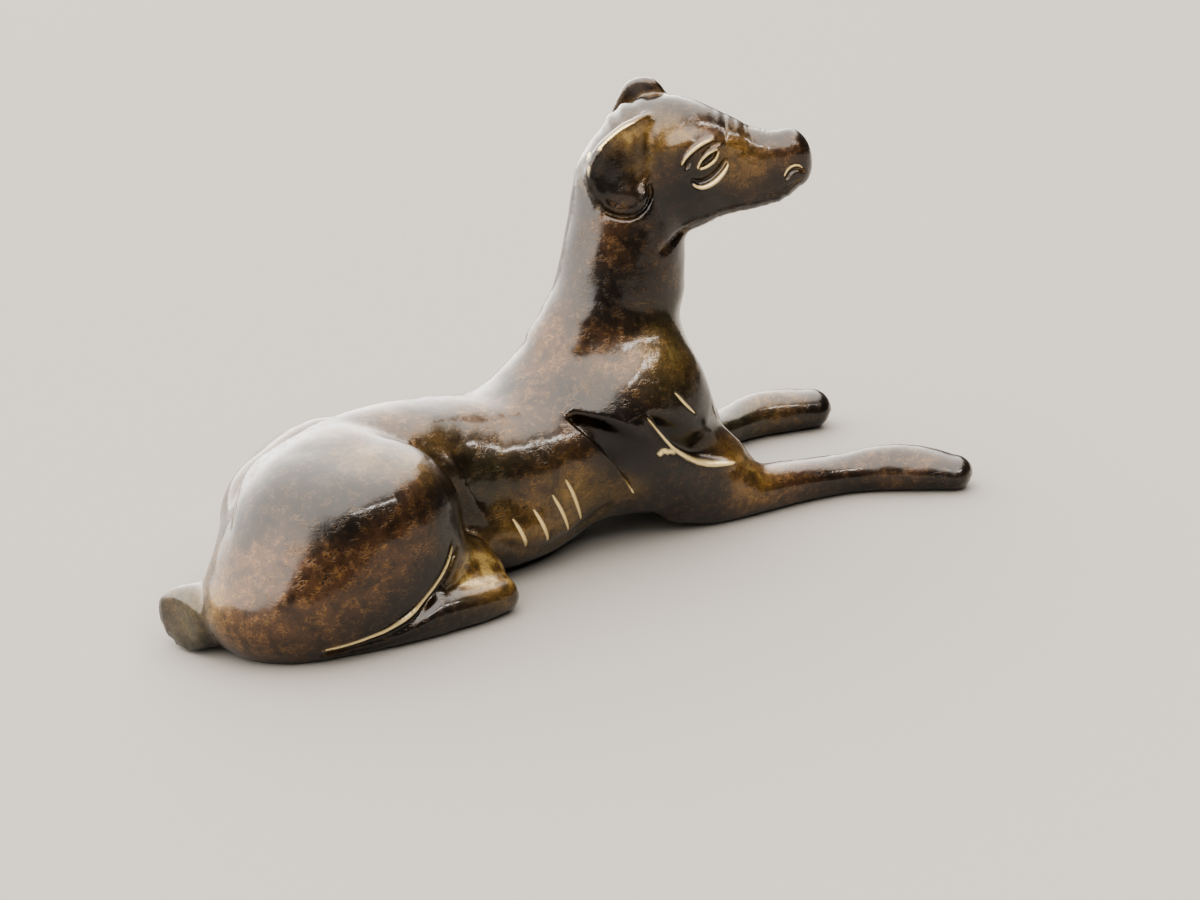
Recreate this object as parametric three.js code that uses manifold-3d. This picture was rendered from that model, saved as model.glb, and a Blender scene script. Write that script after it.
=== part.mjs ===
// A reclining greyhound, one bronze casting: head up and turned to its right,
// forelegs stretched out along the floor, haunches folded, a short thick tail.
// The form is a field of rounded masses that flow into one another. The field is
// negative inside the metal, and the skin is the surface on which it is zero.
// Frame: +X forward, +Y to the dog's left, +Z up, origin under the middle of its box.

import * as THREE from "three";
import Module from "manifold-3d";

// Driving dimensions, in millimetres and degrees.
const LENGTH = 256; // tail stub to the tip of the longer forepaw
const HEAD_TURN = -32; // turn of the head about the vertical, right is negative
const HEAD_LEAN = 9; // lean of the head toward its own right ear
const RIB_DEPTH = 4.6; // of the hollow behind the last rib
const ARM_DEPTH = 3.5; // of the hollow over the elbow
const TRIANGLES = 8800; // most triangles in the finished skin
const COARSE = 2.7; // step between sections of the body
const FINE = 1.6; // step between sections of the head and the shoulder

// The form is drawn at a length of 256 units and scaled to LENGTH at the end.
const DRAWN = 256;
const UNIT = LENGTH / DRAWN;

// Bronze with a dark brown patina.
const bronze = new THREE.MeshStandardMaterial({ color: "#3b2a1c", roughness: 0.34, metalness: 0.85 });

// Blends.
// The smaller of two fields, rounded over a width k where they meet.
function join(a, b, k) {
  const h = Math.max(k - Math.abs(a - b), 0) / k;
  return Math.min(a, b) - h * h * k * 0.25;
}
// The larger of two fields, rounded in the same way.
function cut(a, b, k) {
  return -join(-a, -b, k);
}
function ease(x, from, to) {
  const t = Math.min(Math.max((x - from) / (to - from), 0), 1);
  return t * t * (3 - 2 * t);
}

// Masses.
// How far a point lies outside a box, used to skip masses that are far away.
function beyond(box, x, y, z) {
  const dx = Math.max(box.min.x - x, 0, x - box.max.x);
  const dy = Math.max(box.min.y - y, 0, y - box.max.y);
  const dz = Math.max(box.min.z - z, 0, z - box.max.z);
  return Math.sqrt(dx * dx + dy * dy + dz * dz);
}
const REACH = 16; // wider than any blend

// An egg: an ellipsoid with its centre, three half sizes, and yaw, pitch and roll in degrees.
// A positive pitch raises its front.
function egg(at, half, yaw = 0, pitch = 0, roll = 0) {
  const turn = new THREE.Matrix4().makeRotationFromEuler(
    new THREE.Euler(...[roll, -pitch, yaw].map(THREE.MathUtils.degToRad), "ZYX")
  );
  const e = turn.elements;
  const r = Math.max(...half);
  const c = new THREE.Vector3(...at);
  const box = new THREE.Box3().setFromCenterAndSize(c, new THREE.Vector3(2 * r, 2 * r, 2 * r));
  const [a, b, d] = half;
  return (x, y, z) => {
    const far = beyond(box, x, y, z);
    if (far > REACH) return far;
    const px = x - at[0];
    const py = y - at[1];
    const pz = z - at[2];
    const u = (px * e[0] + py * e[1] + pz * e[2]) / a;
    const v = (px * e[4] + py * e[5] + pz * e[6]) / b;
    const w = (px * e[8] + py * e[9] + pz * e[10]) / d;
    const k0 = Math.hypot(u, v, w);
    const k1 = Math.hypot(u / a, v / b, w / d);
    return (k0 * (k0 - 1)) / Math.max(k1, 1e-6);
  };
}

// A limb: stations of x, y, z, half width, and depth above and below the line.
// A Catmull-Rom curve runs through the stations, and the sizes change along it.
function limb(stations, side = [0, 1, 0]) {
  const cuts = 3;
  const rings = [stations[0]];
  for (let i = 0; i + 1 < stations.length; i++) {
    const p0 = stations[Math.max(i - 1, 0)];
    const p1 = stations[i];
    const p2 = stations[i + 1];
    const p3 = stations[Math.min(i + 2, stations.length - 1)];
    for (let k = 1; k <= cuts; k++) {
      const t = k / cuts;
      rings.push(p1.map((_, j) => {
        const bend = 2 * p0[j] - 5 * p1[j] + 4 * p2[j] - p3[j];
        const twist = 3 * p1[j] - p0[j] - 3 * p2[j] + p3[j];
        return 0.5 * (2 * p1[j] + (p2[j] - p0[j]) * t + bend * t * t + twist * t * t * t);
      }));
    }
  }
  const sideways = new THREE.Vector3(...side);
  const box = new THREE.Box3();
  const spans = [];
  for (let i = 0; i + 1 < rings.length; i++) {
    const a = new THREE.Vector3(...rings[i]);
    const b = new THREE.Vector3(...rings[i + 1]);
    const along = b.clone().sub(a);
    const length = along.length();
    const t = along.clone().divideScalar(length);
    const s = sideways.clone().addScaledVector(t, -sideways.dot(t)).normalize();
    const u = t.clone().cross(s);
    for (const ring of [rings[i], rings[i + 1]]) {
      const r = Math.max(ring[3], ring[4], ring[5]);
      const p = new THREE.Vector3(...ring);
      box.expandByPoint(p.clone().addScalar(r)).expandByPoint(p.clone().addScalar(-r));
    }
    spans.push([a.x, a.y, a.z, t.x, t.y, t.z, length, s.x, s.y, s.z, u.x, u.y, u.z,
      rings[i][3], rings[i][4], rings[i][5], rings[i + 1][3], rings[i + 1][4], rings[i + 1][5]]);
  }
  return (x, y, z) => {
    const far = beyond(box, x, y, z);
    if (far > REACH) return far;
    let best = 1e9;
    let q;
    let t;
    let c;
    for (const span of spans) {
      const px = x - span[0];
      const py = y - span[1];
      const pz = z - span[2];
      const share = Math.min(Math.max((px * span[3] + py * span[4] + pz * span[5]) / span[6], 0), 1);
      const run = share * span[6];
      const cx = px - run * span[3];
      const cy = py - run * span[4];
      const cz = pz - run * span[5];
      const away = cx * cx + cy * cy + cz * cz;
      if (away < best) {
        best = away;
        q = span;
        t = share;
        c = [cx, cy, cz];
      }
    }
    const ss = c[0] * q[7] + c[1] * q[8] + c[2] * q[9];
    const uu = c[0] * q[10] + c[1] * q[11] + c[2] * q[12];
    const tt = c[0] * q[3] + c[1] * q[4] + c[2] * q[5];
    const rs = q[13] + t * (q[16] - q[13]);
    const ru = uu > 0 ? q[14] + t * (q[17] - q[14]) : q[15] + t * (q[18] - q[15]);
    const rt = Math.min(rs, ru);
    const k0 = Math.sqrt((ss / rs) ** 2 + (uu / ru) ** 2 + (tt / rt) ** 2);
    const k1 = Math.sqrt((ss / rs / rs) ** 2 + (uu / ru / ru) ** 2 + (tt / rt / rt) ** 2);
    return k0 > 1e-6 ? (k0 * (k0 - 1)) / Math.max(k1, 1e-9) : -rt;
  };
}

// Distance in the side view to a line of points, positive on its left, and the share along it.
function toLine(x, z, points) {
  let best = 1e9;
  let sign = 1;
  let along = 0;
  let run = 0;
  for (let i = 0; i + 1 < points.length; i++) {
    const [x0, z0] = points[i];
    const dx = points[i + 1][0] - x0;
    const dz = points[i + 1][1] - z0;
    const size = Math.hypot(dx, dz);
    const t = Math.min(Math.max(((x - x0) * dx + (z - z0) * dz) / (size * size), 0), 1);
    const d = Math.hypot(x - x0 - t * dx, z - z0 - t * dz);
    if (d < best) {
      best = d;
      sign = Math.sign(dx * (z - z0) - dz * (x - x0)) || 1;
      along = run + t * size;
    }
    run += size;
  }
  return [best * sign, along / run];
}

// A carved hollow: the metal drops at once on the left of its edge, rises again over the fade,
// and runs out softly under its brow.
const BROW_SOFT = 5;
function hollow(x, z, { edge, brow, depth, fade }) {
  const [d, share] = toLine(x, z, edge);
  if (d < -1.4 || d > fade * 3) return 0;
  const drop = ease(d, -1.4, 1.4) * Math.exp(-((Math.max(d, 0) / fade) ** 2));
  const under = ease(-toLine(x, z, brow)[0], 0, BROW_SOFT);
  return depth * drop * under * ease(share, 0, 0.12) * ease(1 - share, 0, 0.25);
}

// Distance in the side view to a closed outline, negative inside.
function toOutline(x, z, points) {
  let best = 1e9;
  let inside = false;
  for (let i = 0; i < points.length; i++) {
    const [x0, z0] = points[i];
    const [x1, z1] = points[(i + 1) % points.length];
    const dx = x1 - x0;
    const dz = z1 - z0;
    const t = Math.min(Math.max(((x - x0) * dx + (z - z0) * dz) / (dx * dx + dz * dz), 0), 1);
    best = Math.min(best, Math.hypot(x - x0 - t * dx, z - z0 - t * dz));
    if (z0 > z !== z1 > z && x < (dx * (z - z0)) / dz + x0) inside = !inside;
  }
  return inside ? -best : best;
}

// The head, in its own turned frame: forward, left, up.
const NAPE = [127, 0, 106]; // the point the head turns about
const turn = THREE.MathUtils.degToRad(HEAD_TURN);
const lean = THREE.MathUtils.degToRad(HEAD_LEAN);
function toHead(x, y, z) {
  const px = x - NAPE[0];
  const py = y - NAPE[1];
  const pz = z - NAPE[2];
  const u = px * Math.cos(turn) + py * Math.sin(turn);
  const v = py * Math.cos(turn) - px * Math.sin(turn);
  return [u, v * Math.cos(lean) + pz * Math.sin(lean), pz * Math.cos(lean) - v * Math.sin(lean) + NAPE[2]];
}
const skull = limb([
  [-4.5, 0, 104.5, 9, 11.5, 14],
  [1, 0, 107, 12.2, 16.8, 17.5],
  [8, 0, 107, 12.6, 18.4, 22.6],
  [16, 0, 106.5, 11.2, 17, 21.4],
  [24, 0, 106, 9, 13.4, 18],
  [31, 0, 105.2, 7.6, 10.5, 14.8],
  [38, 0, 105.4, 6.8, 8.9, 13],
  [43.6, 0, 107, 6.1, 7.5, 10.2],
]);
const occiput = egg([-4, 1, 113.5], [10, 12, 9.5]);
const brows = [-1, 1].map((s) => egg([17, s * 8.5, 112.5], [8, 3.2, 4.2], -s * 14, -12));
const sockets = [-1, 1].map((s) => egg([21, s * 12.6, 108], [7, 3.4, 5], -s * 16, 20));
// The ears as side outlines: the right one hangs, the left one is pricked.
const HANGING = [
  [7, 121], [2, 122.8], [-3, 121.8], [-7, 119.5], [-11.5, 115.5], [-14.5, 111], [-15.2, 106.5],
  [-13.5, 102], [-10.5, 98], [-6, 96], [-2, 95], [0, 96.5], [1.5, 100], [1.7, 103], [7, 107],
];
const PRICKED = [
  [10, 121.5], [8.4, 124.8], [6.6, 127.4], [4.4, 129], [1.4, 128.6], [-2, 126.2], [-4.6, 121.5], [-6, 117],
  [-7.5, 112], [-9.5, 106], [-10, 101], [-8, 97.5], [-4, 95.5], [0, 96.5], [1.5, 100], [1.7, 103], [8, 108],
];
// An ear flap stands off the skull at the back and below, and sinks into it at the front.
function ear(u, v, w, outline) {
  const o = toOutline(u, w, outline);
  const sunk = 5 * ease(u, -3, 6) * ease(w, 101, 106);
  const lie = 15 + 0.03 * Math.min(Math.max(-u, 0), 20) - 0.24 * Math.min(Math.max(w - 103, 0), 29) - sunk;
  const lobe = 1.2 * Math.exp(-(((u + 3) / 6) ** 2) - ((w - 99) / 5) ** 2);
  return cut(o - 0.3, Math.abs(v - lie) - 1.8 - lobe, 1.6);
}
function head(x, y, z) {
  const far = Math.hypot(x - NAPE[0] - 14, y + 9, z - NAPE[2]) - 42;
  if (far > REACH) return far;
  const [u, v, w] = toHead(x, y, z);
  let d = join(skull(u, v, w), occiput(u, v, w), 4);
  brows.forEach((b) => (d = join(d, b(u, v, w), 3)));
  sockets.forEach((b) => (d = cut(d, -b(u, v, w), 3)));
  return d;
}
function ears(x, y, z) {
  const [u, v, w] = toHead(x, y, z);
  return join(ear(u, -v, w, HANGING), ear(u, v, w, PRICKED), 1);
}

// The body.
const torso = limb([
  [7.5, -4, 25, 17, 20, 24],
  [20, -4, 27, 20, 22.5, 26],
  [38, -3, 27.5, 20, 24, 26],
  [54, -1, 27, 20.5, 23, 26],
  [72, 0, 26, 24, 21.6, 25],
  [90, 1, 28, 25.5, 22, 25],
  [106, 2, 32, 25, 22, 24],
  [120, 2, 33, 22, 22, 22],
]);
const belly = egg([69, -1, 13], [36, 25, 15]);
const withers = egg([90, 0.5, 41], [20, 13, 9.5], 0, 45);
const neck = limb([
  [139, 2, 14, 18, 17, 18],
  [127, 2, 34, 19.5, 33, 23],
  [121, 1, 52, 17, 34, 21],
  [121.5, 0, 70, 15.2, 23, 19],
  [123, 0, 86, 13.5, 19.6, 18.2],
  [125, 0, 102, 12, 18, 16],
]);
// Two hollows, drawn in the side view: behind the last rib, and over the elbow.
const RIB_HOLLOW = {
  edge: [[87.5, 42.5], [94.5, 34.5], [99.4, 28.5], [105, 19.5]],
  brow: [[84, 46], [92, 43.6], [99.4, 41.6], [109, 36.8], [116, 32.4], [121, 26]],
  depth: RIB_DEPTH,
  fade: 9,
};
const ARM_HOLLOW = {
  edge: [[109.5, 41.5], [115.5, 33.5], [121.3, 27.8], [131, 22.3], [144.5, 19.6]],
  brow: [[106, 44.5], [114, 41], [126, 36.6], [141, 27.8], [147, 20.5]],
  depth: ARM_DEPTH,
  fade: 6,
};

// One side of the dog, drawn for its right side. The left haunch sits further in.
function side(s) {
  const right = s < 0;
  const tuck = right ? 0 : 9;
  return {
    s,
    blade: egg([117, -14, 34], [17, 11.5, 26], 0, -22),
    arm: egg([124, -17, 18], [22, 10, 12], 0, -20),
    elbow: egg([140, -15.5, 14], [17, 10, 13], 0, -38),
    thigh: right ? egg([15, -22, 25], [33, 24, 27], -4, 4) : egg([27, -8, 21], [28.5, 24, 25], 4),
    calf: right ? egg([25, -30, 15], [18, 12, 13.5]) : null,
    seat: right ? egg([0, -25, 12], [25.5, 19, 16.5], -20) : null,
    foot: limb([
      [2 + tuck, -34 + tuck, 7, 7, 7, 7.6],
      [14 + tuck / 2, -38.5 + tuck, 6.5, 7, 6.5, 7.1],
      [30, -40 + tuck, 6, 6.5, 6, 6.6],
      [44, -39.5 + tuck, 5.5, 6.5, 5.5, 6.1],
      [51, -38 + tuck, 5.3, 6.5, 5.3, 5.9],
    ]),
    web: egg([41, -28 + tuck, 9], [16, 10.5, 12.5]),
    slab: egg([45, -33 + tuck, 8], [12, 6.5, 8.2], 0, -10),
  };
}
const sides = [side(-1), side(1)];
// The right foreleg bends inward at the paw. The left one reaches a little further.
const forelegs = [
  limb([
    [128, -18, 12, 8, 10, 10],
    [140, -19, 8.5, 8, 9.5, 9.2],
    [152, -20, 6.8, 7.4, 7.8, 7.4],
    [170, -20.5, 6, 7, 6.4, 6.6],
    [186, -23, 5.4, 7, 6.2, 6],
    [197, -28, 5.2, 7.6, 8.2, 5.8],
    [206.5, -34.5, 5, 8, 7.8, 5.6],
    [214.8, -41.6, 4.6, 7, 5.4, 5.2],
  ]),
  limb([
    [128, 19, 12, 8, 10, 10],
    [140, 22, 9, 8, 9, 9.6],
    [152, 26, 7, 7.2, 6.2, 7.6],
    [170, 32, 6.4, 7, 5.4, 7],
    [186, 35.6, 6, 7, 5.6, 6.6],
    [198, 37, 6, 7.6, 7.8, 6.6],
    [208, 35.5, 6, 8, 8, 6.6],
    [219.6, 32.8, 5.8, 7.8, 6.8, 6.2],
  ]),
];
const stub = limb([
  [-4, -14, 8, 12, 9, 9],
  [-15, -12.5, 8.6, 9.8, 8.6, 8.8],
  [-26, -11, 8.8, 9, 8.2, 8.8],
  [-37, -10.5, 8.8, 8.8, 8.2, 8.8],
]);
// The tail is cut off straight, and bevelled above the cut. Each plane has a normal and a point.
const TAIL_CUT = [[-0.97, -0.24, 0], [-28, -11, 0]];
const TAIL_BEVEL = [[-0.72, -0.1, 0.69], [-28.6, -11, 14.5]];
const above = ([n, p], x, y, z) => n[0] * (x - p[0]) + n[1] * (y - p[1]) + n[2] * (z - p[2]);
function tail(x, y, z) {
  return cut(cut(stub(x, y, z), above(TAIL_CUT, x, y, z), 2), above(TAIL_BEVEL, x, y, z), 2);
}

// The point of the breast, and how softly the facets bend there.
const BREAST = [129.5, 0.5, 62];
const BREAST_ROUND = 8;

// The whole figure.
function figure(x, y, z) {
  let d = join(torso(x, y, z), belly(x, y, z), 6);
  d = join(d, neck(x, y, z), 11);
  d = join(d, withers(x, y, z), 8);
  // A long facet runs down either side of the breast.
  const rise = z - BREAST[2];
  const ridge = BREAST[0] + 0.225 * rise + 0.875 * (Math.hypot(rise, BREAST_ROUND) - BREAST_ROUND);
  for (const s of [-1, 1]) d = cut(d, (x - ridge) * 0.75 + (s * (y - BREAST[1]) - 15.5) * 0.66, 2.4);
  d = join(d, head(x, y, z), 3.5);
  if (z > 85) d = join(d, ears(x, y, z), 1.2);
  for (const q of sides) {
    const m = -q.s * y;
    d = join(d, q.blade(x, m, z), 15);
    d = join(d, q.arm(x, m, z), 5);
    d = join(d, q.elbow(x, m, z), 6);
    // The thigh melts into the back and stands over the flank with a crisp lip.
    const lip = Math.min(Math.max((x - 22) / 14, 0), 1);
    const haunch = q.calf ? join(q.thigh(x, m, z), q.calf(x, m, z), 9) : q.thigh(x, m, z);
    d = join(d, haunch, 9 - 7.4 * lip);
    if (q.seat) d = join(d, q.seat(x, m, z), 11);
    d = join(d, q.foot(x, m, z), 1.6);
    d = join(d, join(q.web(x, m, z), q.slab(x, m, z), 4), 3);
  }
  for (const leg of forelegs) d = join(d, leg(x, y, z), 4);
  d = join(d, tail(x, y, z), 1.5);
  // Nothing reaches far below the floor, where the casting is ground flat afterwards.
  d = cut(d, -z - 3, 1);
  const outer = ease(Math.abs(y), 8, 15);
  if (outer > 0 && x > 60 && x < 160 && z < 60) {
    d += outer * (hollow(x, z, RIB_HOLLOW) + hollow(x, z, ARM_HOLLOW));
  }
  return d;
}

// Fills grid corners until metal never touches metal along a bare edge or at a bare corner,
// so that every edge of the skin has two faces.
const STEP = [[1, 0, 0], [0, 1, 0], [0, 0, 1]];
const SQUARE = [[0, 0], [1, 0], [1, 1], [0, 1]];
function mend(value, n, at) {
  const fill = (spots) => {
    const open = spots.filter((s) => value[s] >= 0).sort((s, t) => value[s] - value[t]);
    value[open[0]] = -0.05;
  };
  for (let again = true; again; ) {
    again = false;
    for (let i = 0; i + 1 < n[0]; i++)
      for (let j = 0; j + 1 < n[1]; j++)
        for (let k = 0; k + 1 < n[2]; k++) {
          for (let a = 0; a < 3; a++) {
            const b = STEP[(a + 1) % 3];
            const c = STEP[(a + 2) % 3];
            const f = SQUARE.map(([s, t]) =>
              at(i + s * b[0] + t * c[0], j + s * b[1] + t * c[1], k + s * b[2] + t * c[2])
            );
            const m = f.map((v) => value[v] < 0);
            if (m[0] === m[2] && m[1] === m[3] && m[0] !== m[1]) {
              fill(f);
              again = true;
            }
          }
          for (let c = 0; c < 4; c++) {
            const near = [c & 1, (c >> 1) & 1, 0];
            const p = at(i + near[0], j + near[1], k + near[2]);
            const q = at(i + 1 - near[0], j + 1 - near[1], k + 1 - near[2]);
            if (value[p] < 0 !== value[q] < 0) continue;
            const rest = [];
            for (let r = 0; r < 8; r++) {
              const v = at(i + (r & 1), j + ((r >> 1) & 1), k + ((r >> 2) & 1));
              if (v !== p && v !== q) rest.push(v);
            }
            if (rest.every((v) => value[v] < 0 !== value[p] < 0)) {
              fill([p, q, ...rest]);
              again = true;
            }
          }
        }
  }
}

// The skin: one point in every cell that the surface crosses, joined across crossed edges.
function findSkin(field, planes) {
  const n = planes.map((p) => p.length);
  const at = (i, j, k) => (i * n[1] + j) * n[2] + k;
  const value = new Float64Array(n[0] * n[1] * n[2]);
  for (let i = 0; i < n[0]; i++)
    for (let j = 0; j < n[1]; j++)
      for (let k = 0; k < n[2]; k++)
        value[at(i, j, k)] = field(planes[0][i], planes[1][j], planes[2][k]);
  mend(value, n, at);
  const number = new Int32Array(value.length).fill(-1);
  const points = [];
  const corners = [];
  for (let c = 0; c < 8; c++) corners.push([c & 1, (c >> 1) & 1, (c >> 2) & 1]);
  for (let i = 0; i + 1 < n[0]; i++)
    for (let j = 0; j + 1 < n[1]; j++)
      for (let k = 0; k + 1 < n[2]; k++) {
        const f = corners.map(([a, b, c]) => value[at(i + a, j + b, k + c)]);
        const negative = f.filter((v) => v < 0).length;
        if (negative === 0 || negative === 8) continue;
        const sum = new THREE.Vector3();
        let count = 0;
        for (let a = 0; a < 8; a++)
          for (const bit of [1, 2, 4]) {
            const b = a | bit;
            if (a & bit || f[a] < 0 === f[b] < 0) continue;
            const t = f[a] / (f[a] - f[b]);
            sum.x += corners[a][0] + t * (corners[b][0] - corners[a][0]);
            sum.y += corners[a][1] + t * (corners[b][1] - corners[a][1]);
            sum.z += corners[a][2] + t * (corners[b][2] - corners[a][2]);
            count++;
          }
        sum.divideScalar(count);
        number[at(i, j, k)] = points.length;
        const spot = [[i, sum.x], [j, sum.y], [k, sum.z]];
        points.push(new THREE.Vector3(...spot.map(([m, t], a) =>
          planes[a][m] + t * (planes[a][m + 1] - planes[a][m]))));
      }
  const faces = [];
  for (let i = 1; i + 1 < n[0]; i++)
    for (let j = 1; j + 1 < n[1]; j++)
      for (let k = 1; k + 1 < n[2]; k++)
        for (let a = 0; a < 3; a++) {
          const here = value[at(i, j, k)] < 0;
          const there = value[at(i + STEP[a][0], j + STEP[a][1], k + STEP[a][2])] < 0;
          if (here === there) continue;
          const b = STEP[(a + 1) % 3];
          const c = STEP[(a + 2) % 3];
          const q = SQUARE.map(([s, t]) =>
            number[at(i - s * b[0] - t * c[0], j - s * b[1] - t * c[1], k - s * b[2] - t * c[2])]
          );
          if (!here) q.reverse();
          const p = q.map((v) => points[v]);
          if (p[0].distanceToSquared(p[2]) < p[1].distanceToSquared(p[3]))
            faces.push([q[0], q[1], q[2]], [q[0], q[2], q[3]]);
          else
            faces.push([q[0], q[1], q[3]], [q[1], q[2], q[3]]);
        }
  return { points, faces };
}

// Slides a point along the field's slope until it lies on the skin.
function settle(field, p, rounds = 3, most = 1.2) {
  const e = 0.05;
  for (let i = 0; i < rounds; i++) {
    const f = field(p.x, p.y, p.z);
    const g = new THREE.Vector3(
      (field(p.x + e, p.y, p.z) - f) / e,
      (field(p.x, p.y + e, p.z) - f) / e,
      (field(p.x, p.y, p.z + e) - f) / e
    );
    const size = Math.max(g.lengthSq(), 0.2);
    p.addScaledVector(g, Math.max(-most, Math.min(most, -f / size)));
  }
  return p;
}

// Merges the shortest, flattest edges first until few enough triangles are left.
// Each point carries the sum of the squared distances to the planes that met there.
function thin(points, faces, limit) {
  const live = faces.map(() => true);
  const around = points.map(() => new Set());
  faces.forEach((f, i) => f.forEach((v) => around[v].add(i)));
  const normalOf = (a, b, c) => b.clone().sub(a).cross(c.clone().sub(a));
  const form = points.map(() => new Float64Array(10));
  faces.forEach((f) => {
    const n = normalOf(...f.map((v) => points[v]));
    const area = n.length() / 2;
    n.normalize();
    const w = -n.dot(points[f[0]]);
    const q = [
      n.x * n.x, n.x * n.y, n.x * n.z, n.x * w, n.y * n.y, n.y * n.z, n.y * w, n.z * n.z, n.z * w, w * w,
    ];
    f.forEach((v) => q.forEach((value, i) => (form[v][i] += value * area)));
  });
  const cost = (q, p) =>
    q[0] * p.x * p.x + q[4] * p.y * p.y + q[7] * p.z * p.z + q[9] +
    2 * (q[1] * p.x * p.y + q[2] * p.x * p.z + q[5] * p.y * p.z + q[3] * p.x + q[6] * p.y + q[8] * p.z);
  const plan = (a, b) => {
    const q = form[a].map((v, i) => v + form[b][i]);
    const m = new THREE.Matrix3().set(q[0], q[1], q[2], q[1], q[4], q[5], q[2], q[5], q[7]);
    const middle = points[a].clone().add(points[b]).multiplyScalar(0.5);
    const choices = [middle];
    if (Math.abs(m.determinant()) > 1e-3) {
      const best = new THREE.Vector3(-q[3], -q[6], -q[8]).applyMatrix3(m.invert());
      if (best.distanceTo(middle) < points[a].distanceTo(points[b])) choices.push(best);
    }
    choices.sort((s, t) => cost(q, s) - cost(q, t));
    return { q, p: choices[0], c: cost(q, choices[0]) + 2e-3 * points[a].distanceToSquared(points[b]) };
  };
  // A heap of edges, the cheapest on top.
  const heap = [];
  const stamp = points.map(() => 0);
  const push = (a, b) => {
    const item = { a, b, c: plan(a, b).c, sa: stamp[a], sb: stamp[b] };
    let i = heap.push(item) - 1;
    while (i > 0) {
      const up = (i - 1) >> 1;
      if (heap[up].c <= item.c) break;
      heap[i] = heap[up];
      i = up;
    }
    heap[i] = item;
  };
  const pop = () => {
    const top = heap[0];
    const item = heap.pop();
    if (heap.length) {
      let i = 0;
      for (;;) {
        let down = 2 * i + 1;
        if (down >= heap.length) break;
        if (down + 1 < heap.length && heap[down + 1].c < heap[down].c) down++;
        if (heap[down].c >= item.c) break;
        heap[i] = heap[down];
        i = down;
      }
      heap[i] = item;
    }
    return top;
  };
  const neighbours = (v) => {
    const out = new Set();
    around[v].forEach((i) => faces[i].forEach((w) => w !== v && out.add(w)));
    return out;
  };
  faces.forEach((f) => [[0, 1], [1, 2], [2, 0]].forEach(([i, j]) => f[i] < f[j] && push(f[i], f[j])));
  let left = faces.length;
  while (left > limit && heap.length) {
    const { a, b, sa, sb } = pop();
    if (stamp[a] !== sa || stamp[b] !== sb) continue;
    const shared = [...around[a]].filter((i) => around[b].has(i));
    const na = neighbours(a);
    const nb = neighbours(b);
    if (shared.length !== 2 || [...na].filter((v) => nb.has(v)).length !== 2) continue;
    if (na.size + nb.size > 14) continue;
    const { q, p } = plan(a, b);
    const turns = [a, b].some((v) => [...around[v]].some((i) => {
      if (shared.includes(i)) return false;
      const before = normalOf(...faces[i].map((w) => points[w]));
      const after = normalOf(...faces[i].map((w) => (w === v ? p : points[w])));
      return before.dot(after) < 0.3 * before.length() * after.length() || after.length() < 0.02;
    }));
    if (turns) continue;
    shared.forEach((i) => {
      live[i] = false;
      faces[i].forEach((v) => around[v].delete(i));
    });
    around[b].forEach((i) => {
      faces[i] = faces[i].map((v) => (v === b ? a : v));
      around[a].add(i);
    });
    around[b].clear();
    points[a] = p;
    form[a] = q;
    stamp[a]++;
    stamp[b] = -1;
    left -= 2;
    neighbours(a).forEach((v) => push(a, v));
  }
  return faces.filter((_, i) => live[i]);
}

// Planes of the grid from low to high, closer together between near and far.
function grid(low, high, near, far) {
  const out = [low];
  while (out.at(-1) < high) out.push(out.at(-1) + (out.at(-1) > near && out.at(-1) < far ? FINE : COARSE));
  return out;
}
const planes = [grid(-36, 231, 78, 172), grid(-53, 50, -38, 22), grid(-7, 134, 84, 132)];
const skin = findSkin(figure, planes);
skin.points.forEach((p) => settle(figure, p));
const kept = thin(skin.points, skin.faces, TRIANGLES);

// Centred over its own box, standing on the floor.
const used = [...new Set(kept.flat())];
const box = new THREE.Box3().setFromPoints(used.map((v) => skin.points[v]));
const middle = box.getCenter(new THREE.Vector3());
const place = (p) => [(p.x - middle.x) * UNIT, (p.y - middle.y) * UNIT, p.z * UNIT];
const positions = used.flatMap((v) => place(skin.points[v]));
const renumber = new Map(used.map((v, i) => [v, i]));
const triangles = kept.flat().map((v) => renumber.get(v));

const wasm = await Module();
wasm.setup();
const solid = (vertices, indices) =>
  new wasm.Manifold(new wasm.Mesh({
    numProp: 3,
    vertProperties: new Float32Array(vertices),
    triVerts: new Uint32Array(indices),
  }));

// The casting is ground flat where it rests: everything under the floor is cut away.
const slab = new THREE.BoxGeometry(2 * LENGTH, LENGTH, 20 * UNIT).translate(0, 0, -10 * UNIT);
slab.deleteAttribute("normal");
slab.deleteAttribute("uv");
const corners = [];
const cornerOf = [];
const boxAt = slab.getAttribute("position");
for (let i = 0; i < boxAt.count; i++) {
  const key = [boxAt.getX(i), boxAt.getY(i), boxAt.getZ(i)];
  let found = corners.findIndex((c) => c.every((v, j) => Math.abs(v - key[j]) < 1e-6));
  if (found < 0) found = corners.push(key) - 1;
  cornerOf.push(found);
}
const ground = solid(corners.flat(), [...slab.index.array].map((i) => cornerOf[i]));
const made = solid(positions, triangles).subtract(ground).getMesh();

const geometry = new THREE.BufferGeometry();
geometry.setAttribute("position", new THREE.BufferAttribute(made.vertProperties, 3));
geometry.setIndex(new THREE.BufferAttribute(made.triVerts, 1));
geometry.computeVertexNormals();
const greyhound = new THREE.Mesh(geometry, bronze);
greyhound.name = "greyhound";

const model = new THREE.Group();
model.add(greyhound);
export default model;
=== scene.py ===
# %% [markdown]
# A reclining greyhound in bronze, about the length of a hand and a half.
#
# The real thing is one casting. A wax model was carved and modelled with round
# tools, cast in bronze, chased with a few sharp strokes (ribs, eyes, toes), then
# given a dark brown patina, rubbed back to golden brown where a hand would touch
# it, and lacquered until it shone.
#
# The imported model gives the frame: its box, its one node and its record. The
# figure here is drawn in millimetres from the near haunch and is placed in that
# frame at the end.

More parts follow.
